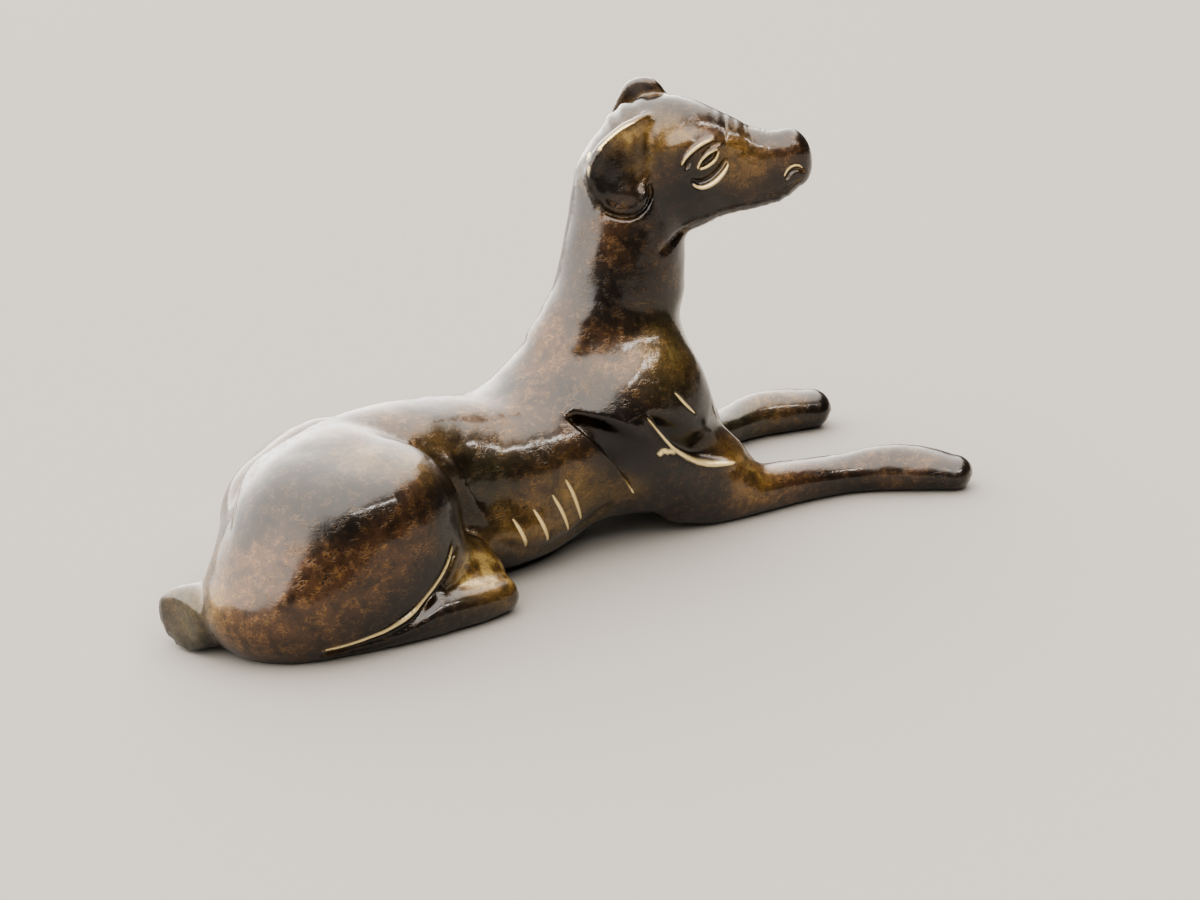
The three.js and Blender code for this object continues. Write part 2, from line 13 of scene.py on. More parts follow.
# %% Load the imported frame
import bpy
import math
import numpy as np
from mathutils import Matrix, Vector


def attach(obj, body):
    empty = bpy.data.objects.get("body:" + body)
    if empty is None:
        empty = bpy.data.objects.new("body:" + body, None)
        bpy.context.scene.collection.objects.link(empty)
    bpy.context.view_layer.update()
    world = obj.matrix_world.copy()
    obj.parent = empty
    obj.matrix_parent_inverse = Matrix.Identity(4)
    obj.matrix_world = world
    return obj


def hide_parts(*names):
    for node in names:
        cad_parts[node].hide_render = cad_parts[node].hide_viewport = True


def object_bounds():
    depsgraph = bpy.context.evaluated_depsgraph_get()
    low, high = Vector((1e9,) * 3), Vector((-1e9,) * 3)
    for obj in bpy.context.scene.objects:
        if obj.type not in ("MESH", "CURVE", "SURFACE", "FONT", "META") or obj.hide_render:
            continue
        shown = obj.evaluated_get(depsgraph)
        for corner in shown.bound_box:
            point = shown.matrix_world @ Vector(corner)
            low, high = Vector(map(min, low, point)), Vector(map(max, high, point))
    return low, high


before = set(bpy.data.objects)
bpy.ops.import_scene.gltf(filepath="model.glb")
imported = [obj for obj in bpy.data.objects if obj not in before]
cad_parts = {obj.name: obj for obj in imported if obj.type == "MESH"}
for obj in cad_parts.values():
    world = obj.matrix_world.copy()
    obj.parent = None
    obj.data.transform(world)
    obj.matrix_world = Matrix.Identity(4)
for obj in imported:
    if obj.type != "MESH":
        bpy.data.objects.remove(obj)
cad_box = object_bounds()
print("CAD box in metres:", cad_box)

# %% [markdown]
# Blends. A casting has no sharp inner corners where two masses meet, because the
# modeller's thumb has been there. The smaller of two distance fields is their
# union, and rounding the corner between them over a width k is that thumb.

# %% Fields that melt into each other
def join(a, b, k):
    """Union of two fields, less a parabola of width k where they are nearly equal."""
    h = np.maximum(k - np.abs(a - b), 0) / k
    return np.minimum(a, b) - h * h * k * 0.25


def cut(a, b, k):
    """Intersection of two fields, rounded over the same width."""
    return -join(-a, -b, k)


def ease(x, start, end):
    """Rises from 0 at start to 1 at end, level at both ends: 3 t^2 - 2 t^3."""
    t = np.clip((x - start) / (end - start), 0, 1)
    return t * t * (3 - 2 * t)


def bump(x, width):
    """A bell curve, 1 at x = 0 and about a third at x = width."""
    return np.exp(-(x / width) ** 2)


print("join of 1 and 1 over 4:", join(np.array(1.0), np.array(1.0), 4))

# %% [markdown]
# Masses. A hound is built from two forms: eggs, for the haunch and the shoulder
# blade, and limbs, for what has a spine line, such as the trunk, the neck, a leg
# or the skull. A subdivision cage would need its loops planned around every
# branch. A field needs no loops: masses are simply added, and the skin is found
# afterwards.

# %% Eggs
FAR = 16.0  # beyond this distance in mm a mass no longer touches the blends


def turned(yaw, pitch, roll):
    """The three axes of a mass as columns: roll about X, pitch raises the front, yaw about Z."""
    a, b, c = np.radians([yaw, -pitch, roll])
    about_z = np.array([[math.cos(a), -math.sin(a), 0], [math.sin(a), math.cos(a), 0], [0, 0, 1]])
    about_y = np.array([[math.cos(b), 0, math.sin(b)], [0, 1, 0], [-math.sin(b), 0, math.cos(b)]])
    about_x = np.array([[1, 0, 0], [0, math.cos(c), -math.sin(c)], [0, math.sin(c), math.cos(c)]])
    return about_z @ about_y @ about_x


def outside(p, low, high):
    """Distance from a box, 0 inside it."""
    return np.linalg.norm(np.maximum(np.maximum(low - p, p - high), 0), axis=1)


def only_near(p, low, high, field):
    """Evaluates a field only where its box is near, and gives the box distance elsewhere."""
    d = outside(p, low, high)
    near = d < FAR
    if near.any():
        d[near] = field(p[near])
    return d


def egg(p, at, half, yaw=0, pitch=0, roll=0):
    """Ellipsoid: with k0 = |q / half| and k1 = |q / half^2|, the distance is near k0 (k0 - 1) / k1."""
    at = np.array(at, float)
    half = np.array(half, float)
    axes = turned(yaw, pitch, roll)

    def inner(p):
        q = (p - at) @ axes
        k0 = np.linalg.norm(q / half, axis=1)
        k1 = np.linalg.norm(q / half ** 2, axis=1)
        return k0 * (k0 - 1) / np.maximum(k1, 1e-6)

    return only_near(p, at - half.max(), at + half.max(), inner)


print("an egg 10 mm long at its tip:", egg(np.array([[5.0, 0, 0]]), (0, 0, 0), (5, 3, 3)))

# %% Limbs
def spline(stations, cuts=3):
    """Smooth cubic curve through the stations, with the sizes carried along as more coordinates."""
    s = np.array(stations, float)
    padded = np.vstack([s[:1], s, s[-1:]])
    p0, p1, p2, p3 = padded[:-3, None], padded[1:-2, None], padded[2:-1, None], padded[3:, None]
    t = (np.arange(1, cuts + 1) / cuts)[None, :, None]
    bend = (2 * p0 - 5 * p1 + 4 * p2 - p3) * t ** 2
    twist = (3 * p1 - p0 - 3 * p2 + p3) * t ** 3
    rings = 0.5 * (2 * p1 + (p2 - p0) * t + bend + twist)
    return np.vstack([s[:1], rings.reshape(-1, s.shape[1])])


def limb(p, stations):
    """A tube along a curve. Its section is an ellipse with a half width, and its own depth
    above and below the line. Each point is measured from the nearest place on the line."""
    rings = spline(stations)
    start, end = rings[:-1], rings[1:]
    along = end[:, :3] - start[:, :3]
    length = np.linalg.norm(along, axis=1)
    along = along / length[:, None]
    side = np.array([0, 1.0, 0]) - along * along[:, 1:2]
    side = side / np.linalg.norm(side, axis=1)[:, None]
    up = np.cross(along, side)
    widest = rings[:, 3:].max(1)[:, None]

    def inner(p):
        nearest = np.full(len(p), 1e9)
        which = np.zeros(len(p), int)
        share = np.zeros(len(p))
        for i in range(len(start)):
            v = p - start[i, :3]
            t = np.clip(v @ along[i] / length[i], 0, 1)
            away = ((v - t[:, None] * (length[i] * along[i])) ** 2).sum(1)
            closer = away < nearest
            nearest = np.where(closer, away, nearest)
            which[closer] = i
            share = np.where(closer, t, share)
        size = start[which, 3:] + share[:, None] * (end[which, 3:] - start[which, 3:])
        q = p - start[which, :3] - (share * length[which])[:, None] * along[which]
        across = (q * side[which]).sum(1)
        rise = (q * up[which]).sum(1)
        past = (q * along[which]).sum(1)
        wide = size[:, 0]
        deep = np.where(rise > 0, size[:, 1], size[:, 2])
        tip = np.minimum(wide, deep)
        k0 = np.sqrt((across / wide) ** 2 + (rise / deep) ** 2 + (past / tip) ** 2)
        k1 = np.sqrt((across / wide ** 2) ** 2 + (rise / deep ** 2) ** 2 + (past / tip ** 2) ** 2)
        return np.where(k0 > 1e-6, k0 * (k0 - 1) / np.maximum(k1, 1e-9), -tip)

    return only_near(p, (rings[:, :3] - widest).min(0), (rings[:, :3] + widest).max(0), inner)


print("rings on a curve of three stations:", len(spline(np.eye(3, 6))))

# %% Lines drawn on the side of the figure
def to_line(x, z, points):
    """Distance to a polyline, positive on its left, and the share of its length at the nearest place."""
    points = np.array(points, float)
    runs = np.hypot(*np.diff(points, axis=0).T)
    marks = np.concatenate([[0], np.cumsum(runs)])
    best = np.full(x.shape, 1e9)
    sign = np.ones(x.shape)
    share = np.zeros(x.shape)
    for i in range(len(runs)):
        dx, dz = points[i + 1] - points[i]
        px, pz = x - points[i, 0], z - points[i, 1]
        t = np.clip((px * dx + pz * dz) / runs[i] ** 2, 0, 1)
        d = np.hypot(px - t * dx, pz - t * dz)
        closer = d < best
        best = np.where(closer, d, best)
        sign = np.where(closer, np.where(dx * pz - dz * px < 0, -1, 1), sign)
        share = np.where(closer, (marks[i] + t * runs[i]) / marks[-1], share)
    return best * sign, share


def to_outline(x, z, points):
    """Distance to a closed outline, negative inside."""
    points = np.array(points, float)
    best = np.full(x.shape, 1e9)
    inside = np.zeros(x.shape, bool)
    for (x0, z0), (x1, z1) in zip(points, np.roll(points, -1, axis=0)):
        dx, dz = x1 - x0, z1 - z0
        t = np.clip(((x - x0) * dx + (z - z0) * dz) / (dx * dx + dz * dz), 0, 1)
        best = np.minimum(best, np.hypot(x - x0 - t * dx, z - z0 - t * dz))
        crosses = (z0 > z) != (z1 > z)
        inside ^= crosses & (x < dx * (z - z0) / (dz if dz else 1) + x0)
    return np.where(inside, -best, best)


print("two to the left of a line:", to_line(np.array([1.0]), np.array([2.0]), [[0, 0], [5, 0]])[0])

# %% [markdown]
# The head has its own frame, turned to the dog's right and leaning a little, so
# its stations are written as for a head that looks straight ahead: u forward,
# v to the dog's left, w up.

# %% The head
HEAD_TURN = math.radians(-32)
HEAD_LEAN = math.radians(9)
NAPE = np.array([127.0, 0, 106])
SKULL = [
    [-4.5, 0, 104.5, 9, 11.5, 14],
    [1, 0, 107, 12.2, 16.8, 17.5],
    [8, 0, 107, 12.6, 18.4, 22.6],
    [16, 0, 106.5, 11.2, 17, 21.4],
    [24, 0, 106, 9, 13.4, 18],
    [31, 0, 105.2, 7.6, 10.5, 14.8],
    [38, 0, 105.4, 6.8, 8.9, 13],
    [43.6, 0, 107, 6.1, 7.5, 10.2],
]
HANGING = [
    [7, 121], [2, 122.8], [-3, 121.8], [-7, 119.5], [-11.5, 115.7], [-14.4, 111.5], [-15.2, 106.5],
    [-13.4, 102.4], [-10, 99.2], [-6, 97.6], [-2.4, 97.3], [0.3, 98.7], [1.8, 101.5], [2, 104.5], [7, 107],
]
PRICKED = [
    [10, 121.5], [8.4, 124.8], [6.6, 127.4], [4.4, 129], [1.4, 128.6], [-2, 126.2], [-4.6, 121.5], [-6, 117],
    [-7.5, 112], [-9.5, 106], [-10, 101], [-8, 97.5], [-4, 95.5], [0, 96.5], [1.5, 100], [1.7, 103], [8, 108],
]


def to_head(p):
    """Turns about the vertical at the nape, then leans about the head's own forward axis."""
    x, y, z = (p - NAPE).T
    u = x * math.cos(HEAD_TURN) + y * math.sin(HEAD_TURN)
    v = y * math.cos(HEAD_TURN) - x * math.sin(HEAD_TURN)
    left = v * math.cos(HEAD_LEAN) + z * math.sin(HEAD_LEAN)
    up = z * math.cos(HEAD_LEAN) - v * math.sin(HEAD_LEAN)
    return np.stack([u, left, up + NAPE[2]], 1)


def ear(u, v, w, outline):
    """A flap that stands off the skull behind and below, and sinks into it in front."""
    closed = spline([[a, 0, b] for a, b in outline + outline[:1]], 2)[:, [0, 2]]
    o = to_outline(u, w, closed[:-1])
    sunk = 5 * ease(u, -3, 6) * ease(w, 101, 106)
    lie = 15 + 0.03 * np.clip(-u, 0, 20) - 0.24 * np.clip(w - 103, 0, 29) - sunk
    lobe = 1.2 * bump(u + 3, 6) * bump(w - 99, 5)
    return cut(o - 0.3, np.abs(v - lie) - 1.8 - lobe, 1.6)


def head(p):
    """Skull, brow ridges added, eye hollows taken away."""
    q = to_head(p)
    d = join(limb(q, SKULL), egg(q, (-2.5, 1, 110.5), (8.5, 11, 8)), 4)
    for s in (-1, 1):
        d = join(d, egg(q, (17, s * 8.5, 112.5), (8, 3.2, 4.2), -s * 14, -12), 3)
    for s in (-1, 1):
        d = cut(d, -egg(q, (21, s * 12.6, 108), (7, 3.4, 5), -s * 16, 20), 3)
    return d


def ears(p):
    """Far from the head a plain distance will do, so the outlines are measured only near it."""
    d = np.linalg.norm(p - NAPE - [0, 0, 5], axis=1) - 20
    near = d < 14
    u, v, w = to_head(p[near]).T
    d[near] = join(ear(u, -v, w, HANGING), ear(u, v, w, PRICKED), 1)
    return d


print("field at the nape:", head(NAPE[None]))

# %% [markdown]
# The body. The trunk, the belly that rests on the floor, the deep neck, and for
# each side the shoulder blade, the upper arm and elbow, the haunch, the hind foot
# and the web of flesh that runs from the foot up to the flank. The right haunch
# is the near one: it carries a calf below the thigh and spreads out at the seat.

# %% The body
TRUNK = [
    [7.5, -4, 25, 17, 20, 24],
    [20, -4, 27, 20, 22.5, 26],
    [38, -3, 27.5, 20, 24, 26],
    [54, -1, 27, 20.5, 23, 26],
    [72, 0, 26, 24, 21.6, 25],
    [90, 1, 28, 25.5, 22, 25],
    [106, 2, 32, 25, 22, 24],
    [120, 2, 33, 22, 22, 22],
]
NECK = [
    [139, 2, 14, 18, 17, 18],
    [127, 2, 34, 19.5, 33, 23],
    [121, 1, 52, 17, 34, 21],
    [121.5, 0, 70, 15.2, 23, 19],
    [123, 0, 86, 13.5, 19.6, 18.2],
    [125, 0, 102, 12, 18, 16],
]
RIGHT_FORELEG = [
    [128, -18, 12, 8, 10, 10],
    [140, -19, 8.5, 8, 9.5, 9.2],
    [152, -20, 6.8, 7.4, 7.8, 7.4],
    [170, -20.5, 6, 7, 6.4, 6.6],
    [186, -23, 5.4, 7, 6.2, 6],
    [197, -28, 5.2, 7.6, 8.2, 5.8],
    [206.5, -34.5, 5, 8, 7.8, 5.6],
    [214.8, -41.6, 4.6, 7, 5.4, 5.2],
]
LEFT_FORELEG = [
    [128, 19, 12, 8, 10, 10],
    [140, 22, 9, 8, 9, 9.6],
    [152, 26, 7, 7.2, 6.2, 7.6],
    [170, 32, 6.4, 7, 5.4, 7],
    [186, 35.6, 6, 7, 5.6, 6.6],
    [198, 37, 6, 7.6, 7.8, 6.6],
    [208, 35.5, 6, 8, 8, 6.6],
    [219.6, 32.8, 5.8, 7.8, 6.8, 6.2],
]
TAIL = [
    [-4, -14, 8, 12, 9, 9],
    [-15, -12.5, 8.6, 9.8, 8.6, 8.8],
    [-26, -11, 8.8, 9, 8.2, 8.8],
    [-37, -10.5, 8.8, 8.8, 8.2, 8.8],
]


def tail(p):
    """A thick stub. Two planes, given by their normal and a point, cut it off and bevel it."""
    x, y, z = p.T
    blunt = cut(limb(p, TAIL), -0.97 * (x + 28) - 0.24 * (y + 11), 1.6)
    return cut(blunt, -0.72 * (x + 28.6) - 0.1 * (y + 11) + 0.69 * (z - 14.5), 1.2)


def hind_foot(tuck):
    """Stations of a hind foot, moved inward and forward by the tuck of its haunch."""
    return [
        [2 + tuck, -34 + tuck, 7, 7, 7, 7.6],
        [14 + tuck / 2, -38.5 + tuck, 6.5, 7, 6.5, 7.1],
        [30, -40 + tuck, 6, 6.5, 6, 6.6],
        [44, -39.5 + tuck, 5.5, 6.5, 5.5, 6.1],
        [51, -38 + tuck, 5.3, 6.5, 5.3, 5.9],
    ]


THIGH_TOP = [52.6, -12]  # height and side of a place on the plane over the near thigh
THIGH_FALL = 0.293


def haunch(q, right):
    """The thigh; on the right, a plane flattens its top and a calf melts into its lower front."""
    if not right:
        return egg(q, (27, -8, 21), (28.5, 24, 25), 4)
    top = (q[:, 2] - THIGH_TOP[0] - THIGH_FALL * (q[:, 1] - THIGH_TOP[1])) / math.hypot(1, THIGH_FALL)
    thigh = cut(egg(q, (15, -22, 25), (33, 24, 27), -4, 4), top, 5)
    return join(thigh, egg(q, (25, -30, 15), (18, 12, 13.5)), 9)


def add_side(d, p, s):
    """Adds one side to the field. q is the point mirrored to the dog's right side."""
    right = s < 0
    tuck = 0 if right else 9
    q = p * [1, -s, 1]
    d = join(d, egg(q, (117, -14, 32), (17, 11, 23), 0, -22), 15)
    d = join(d, egg(q, (124, -17, 18), (22, 10, 12), 0, -20), 5)
    d = join(d, egg(q, (140, -15.5, 14), (17, 10, 13), 0, -38), 6)
    lip = np.clip((p[:, 0] - 22) / 14, 0, 1)
    d = join(d, haunch(q, right), 9 - 7.4 * lip)
    if right:
        d = join(d, egg(q, (0, -25, 12), (25.5, 19, 16.5), -20), 11)
    d = join(d, limb(q, hind_foot(tuck)), 1.6)
    web = egg(q, (41, -28 + tuck, 9), (16, 10.5, 12.5))
    slab = egg(q, (45, -33 + tuck, 8), (12, 6.5, 8.2), 0, -10)
    return join(d, join(web, slab, 4), 3)


BREAST_AT = 122.5
BREAST_HEIGHT = 62
BREAST_ROUND = 8


def body(p):
    """All the masses, and the two long facets on either side of the breast."""
    x, y, z = p.T
    d = join(limb(p, TRUNK), egg(p, (69, -1, 13), (36, 25, 15)), 6)
    d = join(d, limb(p, NECK), 11)
    d = join(d, egg(p, (90, 0.5, 41), (20, 13, 9.5), 0, 45), 8)
    rise = z - BREAST_HEIGHT
    ridge = BREAST_AT + 0.225 * rise + 0.875 * np.hypot(rise, BREAST_ROUND)
    for s in (-1, 1):
        d = cut(d, (x - ridge) * 0.75 + (s * (y - 0.5) - 15.5) * 0.66, 2.4)
    d = join(d, head(p), 3.5)
    d = np.where(z > 85, join(d, ears(p), 1.2), d)
    for s in (-1, 1):
        d = add_side(d, p, s)
    for stations in (RIGHT_FORELEG, LEFT_FORELEG):
        d = join(d, limb(p, stations), 4)
    return join(d, tail(p), 1.5)


print("field in the middle of the trunk:", body(np.array([[60.0, 0, 25]])))

# %% [markdown]
# Carving. The chaser worked over the cast skin with a few tools. A hollow drops
# at once behind a crisp edge and runs out softly under its brow: one lies behind
# the last rib, one over the elbow. A fold is one side of a line pressed down. A
# groove is a cut of the graver, and a ridge is what two cuts leave standing
# between them. Each is written as a depth in millimetres that is added to the
# field, so it moves the skin inward.

# %% Hollows, folds, grooves and ridges
def taper(share, start, end):
    """Fades a mark out over the first and last part of its length."""
    return ease(share, 0, start) * ease(1 - share, 0, end)


def smooth(points):
    """The same line, rounded by a smooth cubic curve through its points."""
    return spline([[x, 0, z] for x, z in points], 4)[:, [0, 2]]


def shifted(points, along, up):
    """The same line, moved."""
    return [[x + along, z + up] for x, z in points]


def stroke_of(x, z, points, width):
    """1 on a line, falling as a bell curve, and thinning to nothing at both ends."""
    d, share = to_line(x, z, smooth(points))
    swell = np.sqrt(np.maximum(np.sin(np.pi * np.clip(share, 0, 1)), 0.02))
    return bump(d, width * swell) * taper(share, 0.08, 0.08)


def carved(x, z, edge, brow, depth, fade, crisp=0.7):
    """A hollow that drops at once on the left of its edge and runs out softly under its brow."""
    d, share = to_line(x, z, smooth(edge))
    under = ease(-to_line(x, z, smooth(brow))[0], 0, 5)
    drop = ease(d, -crisp, crisp) * bump(np.maximum(d, 0), fade)
    return depth * drop * under * taper(share, 0.12, 0.4)


def fold(x, z, points, depth, fade, crisp=0.7):
    """A step down on the left of the line, which rises again as a bell curve over the fade."""
    d, share = to_line(x, z, smooth(points))
    step = ease(d, -crisp, crisp) * bump(np.maximum(d, 0), fade)
    return depth * step * taper(share, 0.3, 0.3)


def groove(x, z, points, depth, width):
    """A cut with a bell-shaped section. A negative depth leaves a ridge."""
    return depth * stroke_of(x, z, points, width)


middle_depth = groove(np.array([2.0]), np.array([0.0]), [[0, 0], [4, 0]], 1, 0.5)
print("depth of a 1 mm groove on its line:", middle_depth)

# %% The marks on the body, in the side view
RIB_DEPTH = 4.6
RIB_FADE = 9
RIB_EDGE = [[87.5, 42.5], [94.5, 34.5], [99.4, 28.5], [107, 16]]
RIB_BROW = [[84, 46], [92, 43.6], [99.4, 41.6], [109, 36.8], [116, 32.4], [121, 26]]
ARM_DEPTH = 3.8
ARM_FADE = 6
ARM_EDGE = [[109.5, 41.5], [115.5, 33.5], [121.3, 27.8], [131, 22.3], [144.5, 19.6]]
ARM_BROW = [[106, 44.5], [114, 41], [126, 36.6], [141, 27.8], [147, 20.5]]
SPUR = [[112.2, 27.4], [115, 28.9], [119, 27.6]]
RIB_CUTS = [
    [[83.2, 27], [86.5, 20.5], [89.8, 12]],
    [[78.6, 23.6], [81.5, 18], [84.8, 10.2]],
    [[72, 21], [74.4, 16], [77.3, 9]],
    [[65.4, 19.4], [67.4, 15], [69.8, 9.4]],
]
SHOULDER_CUTS = [
    [[120.4, 45], [123.6, 41], [127.8, 36.8]],
]
RIB_BORDER = [[59, 14.5], [65, 11], [72, 8.8], [80, 8], [88, 9], [96, 12], [101, 16.5]]
FLANK_FOLD = [[50, 42], [52.5, 33], [55.5, 26], [60, 18]]
THIGH_CREASE = [[-6, 4.6], [5, 5.6], [13, 7], [20.5, 9.4], [27.5, 14], [33, 19.5], [37, 26]]
RUMP_LINE = [[38, 5], [25, 1], [13, -2.5], [2, -3.5], [-7, -9], [-14.5, -20], [-18, -25]]  # seen from above
RUMP_STEP = 1.3


def rump_mark(p):
    """The far haunch starts with a small step down behind a ridge that runs over the rump."""
    x, y, z = p.T
    d, share = to_line(x, y, smooth(RUMP_LINE[::-1]))
    step = ease(d, -0.6, 0.9) * bump(np.maximum(d, 0), 3.2)
    return RUMP_STEP * step * taper(share, 0.25, 0.3) * ease(z, 20, 30)


def side_marks(p):
    """Depth of every mark on the flank, the shoulder and the thigh of both sides."""
    x, y, z = p.T
    outer = ease(np.abs(y), 8, 15)
    d = carved(x, z, RIB_EDGE, RIB_BROW, RIB_DEPTH, RIB_FADE)
    d += carved(x, z, ARM_EDGE, ARM_BROW, ARM_DEPTH, ARM_FADE)
    d -= groove(x, z, SPUR, 0.6, 0.8)
    d -= groove(x, z, shifted(ARM_EDGE, -0.6, -1.1), 0.8, 1.2)
    for points in RIB_CUTS:
        d += groove(x, z, points, 0.5, 0.5)
    for points in SHOULDER_CUTS:
        d += groove(x, z, points, 0.4, 0.45)
    d += groove(x, z, RIB_BORDER, 1.1, 2)
    d -= fold(x, z, FLANK_FOLD[::-1], 1.4, 3.5)
    near = ease(-y, 30, 38)
    d -= near * groove(x, z, THIGH_CREASE, 0.7, 0.9)
    d += near * groove(x, z, shifted(THIGH_CREASE, 1.8, -1.7), 1.3, 1.3)
    return outer * d


print("depth behind the lip of the elbow:", side_marks(np.array([[120.0, -24, 30]])))

# %% The marks on the head, in the side view of the head's own frame
EYE_UPPER = [[16.2, 106.8], [17.4, 109.4], [19.6, 111.5], [22.6, 112.6]]
EYE_LOWER = [[16.2, 106.8], [19.2, 107.4], [21.6, 109.2], [22.6, 112.2]]
BROW_ARC = [[11.4, 108.6], [13.2, 111.8], [16.2, 114.3], [19.4, 115.4], [22, 115.4]]
CHEEK_ARC = [[14.6, 103.2], [17.6, 101.6], [21.2, 102.6], [24, 105.2], [25.6, 108]]
NOSTRIL = [[41.4, 102.2], [42.8, 104.8], [45.2, 105.6], [47.2, 104]]
MOUTH = [[36.5, 96.4], [41, 97.4], [44.6, 99.8], [47, 102]]
JAW_CUT = [[4.5, 85], [8.5, 86], [14.5, 88.2]]
MUZZLE_SCRATCHES = [
    [[27.6, 110.6], [31.4, 109.6]],
    [[30.5, 108.2], [33.4, 107.8]],
    [[15.2, 98.6], [17.8, 98.8]],
]


def face_marks(p):
    """Depth of the marks of eyes, brows, nostrils and mouth, alike on both sides of the face."""
    u, v, w = to_head(p).T
    d = groove(u, w, EYE_UPPER, -0.6, 0.55) + groove(u, w, EYE_LOWER, -0.6, 0.55)
    inside = ease(-to_outline(u, w, EYE_UPPER + EYE_LOWER[::-1][1:-1]), 0.1, 0.8)
    d += 0.9 * inside
    d += groove(u, w, BROW_ARC, -0.8, 0.75)
    d += groove(u, w, shifted(BROW_ARC, 1.3, -1.5), 0.9, 1.2)
    d += groove(u, w, CHEEK_ARC, -0.8, 0.8)
    d += groove(u, w, shifted(CHEEK_ARC, -0.6, 1.5), 0.8, 1.2)
    d += groove(u, w, NOSTRIL, -0.5, 0.5)
    d += groove(u, w, shifted(NOSTRIL, 0.5, -1.2), 1.0, 0.9)
    d += groove(u, w, MOUTH, 0.7, 0.5)
    d += groove(u, w, JAW_CUT, 1.2, 0.9)
    for points in MUZZLE_SCRATCHES:
        d += groove(u, w, points, 0.25, 0.35)
    return d * ease(np.abs(v), 2, 4.5)


def ear_marks(p):
    """A raised rim just inside the outline of the hanging ear and a cut just outside it."""
    u, v, w = to_head(p).T
    rim = to_outline(u, w, smooth(HANGING))
    free = ease(-v, 7, 10) * (1 - ease(u, 1.5, 4) * ease(w, 100, 106))
    return free * (1.2 * bump(rim - 1.2, 0.7) + 0.5 * ease(-rim, 0.6, 3))


print("the lid stands proud by:", -face_marks(np.array([[141.0, -22, 108]])))

# %% [markdown]
# The skin under the lacquer is not machine smooth. It keeps the low waves of the
# rasp and the wax tool, a tenth of a millimetre deep and about a centimetre long.
# They break up the highlights. Sums of sine waves in unlike directions give them,
# the same in every run.

# %% Tool waves and the finished field
WAVES = [  # direction and number of radians per mm, then height in mm
    [0.42, 0.31, 0.22, 0.035],
    [-0.27, 0.48, 0.36, 0.03],
    [0.55, -0.38, 0.47, 0.03],
    [0.18, 0.83, -0.62, 0.02],
    [-0.91, 0.35, 0.52, 0.02],
]


def waves(p):
    """Sum of sines of the dot product with each direction."""
    w = np.array(WAVES)
    return np.sin(p @ w[:, :3].T + np.arange(len(w))) @ w[:, 3]


def figure(p):
    """The whole field: masses, marks where they can be, waves, and the flat ground underside."""
    d = body(p)
    x, y, z = p.T
    flank = (x > -12) & (x < 155) & (z < 62)
    d[flank] += side_marks(p[flank])
    rump = (x < 42) & (z > 20)
    d[rump] += rump_mark(p[rump])
    face = (z > 80) & (x > 118)
    d[face] += face_marks(p[face])
    side = (z > 88) & (x > 100) & (x < 142)
    d[side] += ear_marks(p[side])
    d += waves(p)
    return cut(d, -z, 0.5)


print("field above the back:", figure(np.array([[60.0, 0, 52]])))

# %% [markdown]
# The skin. A field is only a rule. To get a mesh, space is cut into small cells,
# and every cell that the surface passes through gets one point, at the mean of
# the places where the surface crosses its edges. Points of cells that share a
# crossed edge are joined. That gives even, well-shaped faces on any form, also
# where legs and ears branch off, and there is no seam or pole.

# %% One point in every crossed cell
def find_skin(field, low, high, step):
    """Surface nets on an even grid: points, and triangles that face outward."""
    axes = [np.arange(a, b + step, step) for a, b in zip(low, high)]
    shape = tuple(len(a) for a in axes)
    grid = np.stack(np.meshgrid(*axes, indexing="ij"), -1).reshape(-1, 3)
    value = field(grid).reshape(shape)
    metal = value < 0
    total = np.zeros(tuple(n - 1 for n in shape) + (3,))
    count = np.zeros(total.shape[:3])
    crossings = []
    for a in range(3):
        b, c = (a + 1) % 3, (a + 2) % 3
        first = [slice(None)] * 3
        last = [slice(None)] * 3
        first[a], last[a] = slice(0, -1), slice(1, None)
        f0, f1 = value[tuple(first)], value[tuple(last)]
        crossed = metal[tuple(first)] != metal[tuple(last)]
        index = np.argwhere(crossed)
        across = index[:, [b, c]]
        index = index[((across > 0) & (across < np.array([shape[b] - 1, shape[c] - 1]))).all(1)]
        at = tuple(index.T)
        share = f0[at] / (f0[at] - f1[at])
        place = np.array(low) + index * step
        place[:, a] += share * step
        for shift in ((0, 0), (1, 0), (1, 1), (0, 1)):
            cell = index.copy()
            cell[:, b] -= shift[0]
            cell[:, c] -= shift[1]
            np.add.at(total, tuple(cell.T), place)
            np.add.at(count, tuple(cell.T), 1)
        crossings.append((index, b, c, metal[tuple(first)][at]))
    used = count > 0
    number = np.full(used.shape, -1)
    number[used] = np.arange(used.sum())
    points = total[used] / count[used][:, None]
    faces = []
    for index, b, c, inside in crossings:
        corners = []
        for shift in ((0, 0), (1, 0), (1, 1), (0, 1)):
            cell = index.copy()
            cell[:, b] -= shift[0]
            cell[:, c] -= shift[1]
            corners.append(number[tuple(cell.T)])
        quad = np.stack(corners, 1)
        quad[~inside] = quad[~inside][:, ::-1]
        faces += [quad[:, [0, 1, 2]], quad[:, [0, 2, 3]]]
    return points, np.concatenate(faces)


def settle(field, p, rounds=2, most=1.0):
    """Steps along the slope by value / slope, so that each point comes to lie on the skin."""
    e = 0.04
    for _ in range(rounds):
        f = field(p)
        slope = np.stack([(field(p + e * np.eye(3)[a]) - f) / e for a in range(3)], 1)
        size = np.maximum((slope ** 2).sum(1), 0.2)
        p = p + slope * np.clip(-f / size, -most, most)[:, None]
    return p


BASE_STEP = 1.7  # mm between points on plain skin
DRAWN_LOW = (-36, -51, -3)  # a box around all that is drawn
DRAWN_HIGH = (229, 48, 133)
points, faces = find_skin(figure, DRAWN_LOW, DRAWN_HIGH, BASE_STEP)
points = settle(figure, points)
print("plain skin:", len(points), "points,", len(faces), "triangles")

# %% [markdown]
# Plain skin needs few points, but an eyelid is a millimetre wide. Edges near the
# carving are halved until they are short enough there. A triangle with one, two
# or three halved edges is split in two, three or four, so no cracks open.

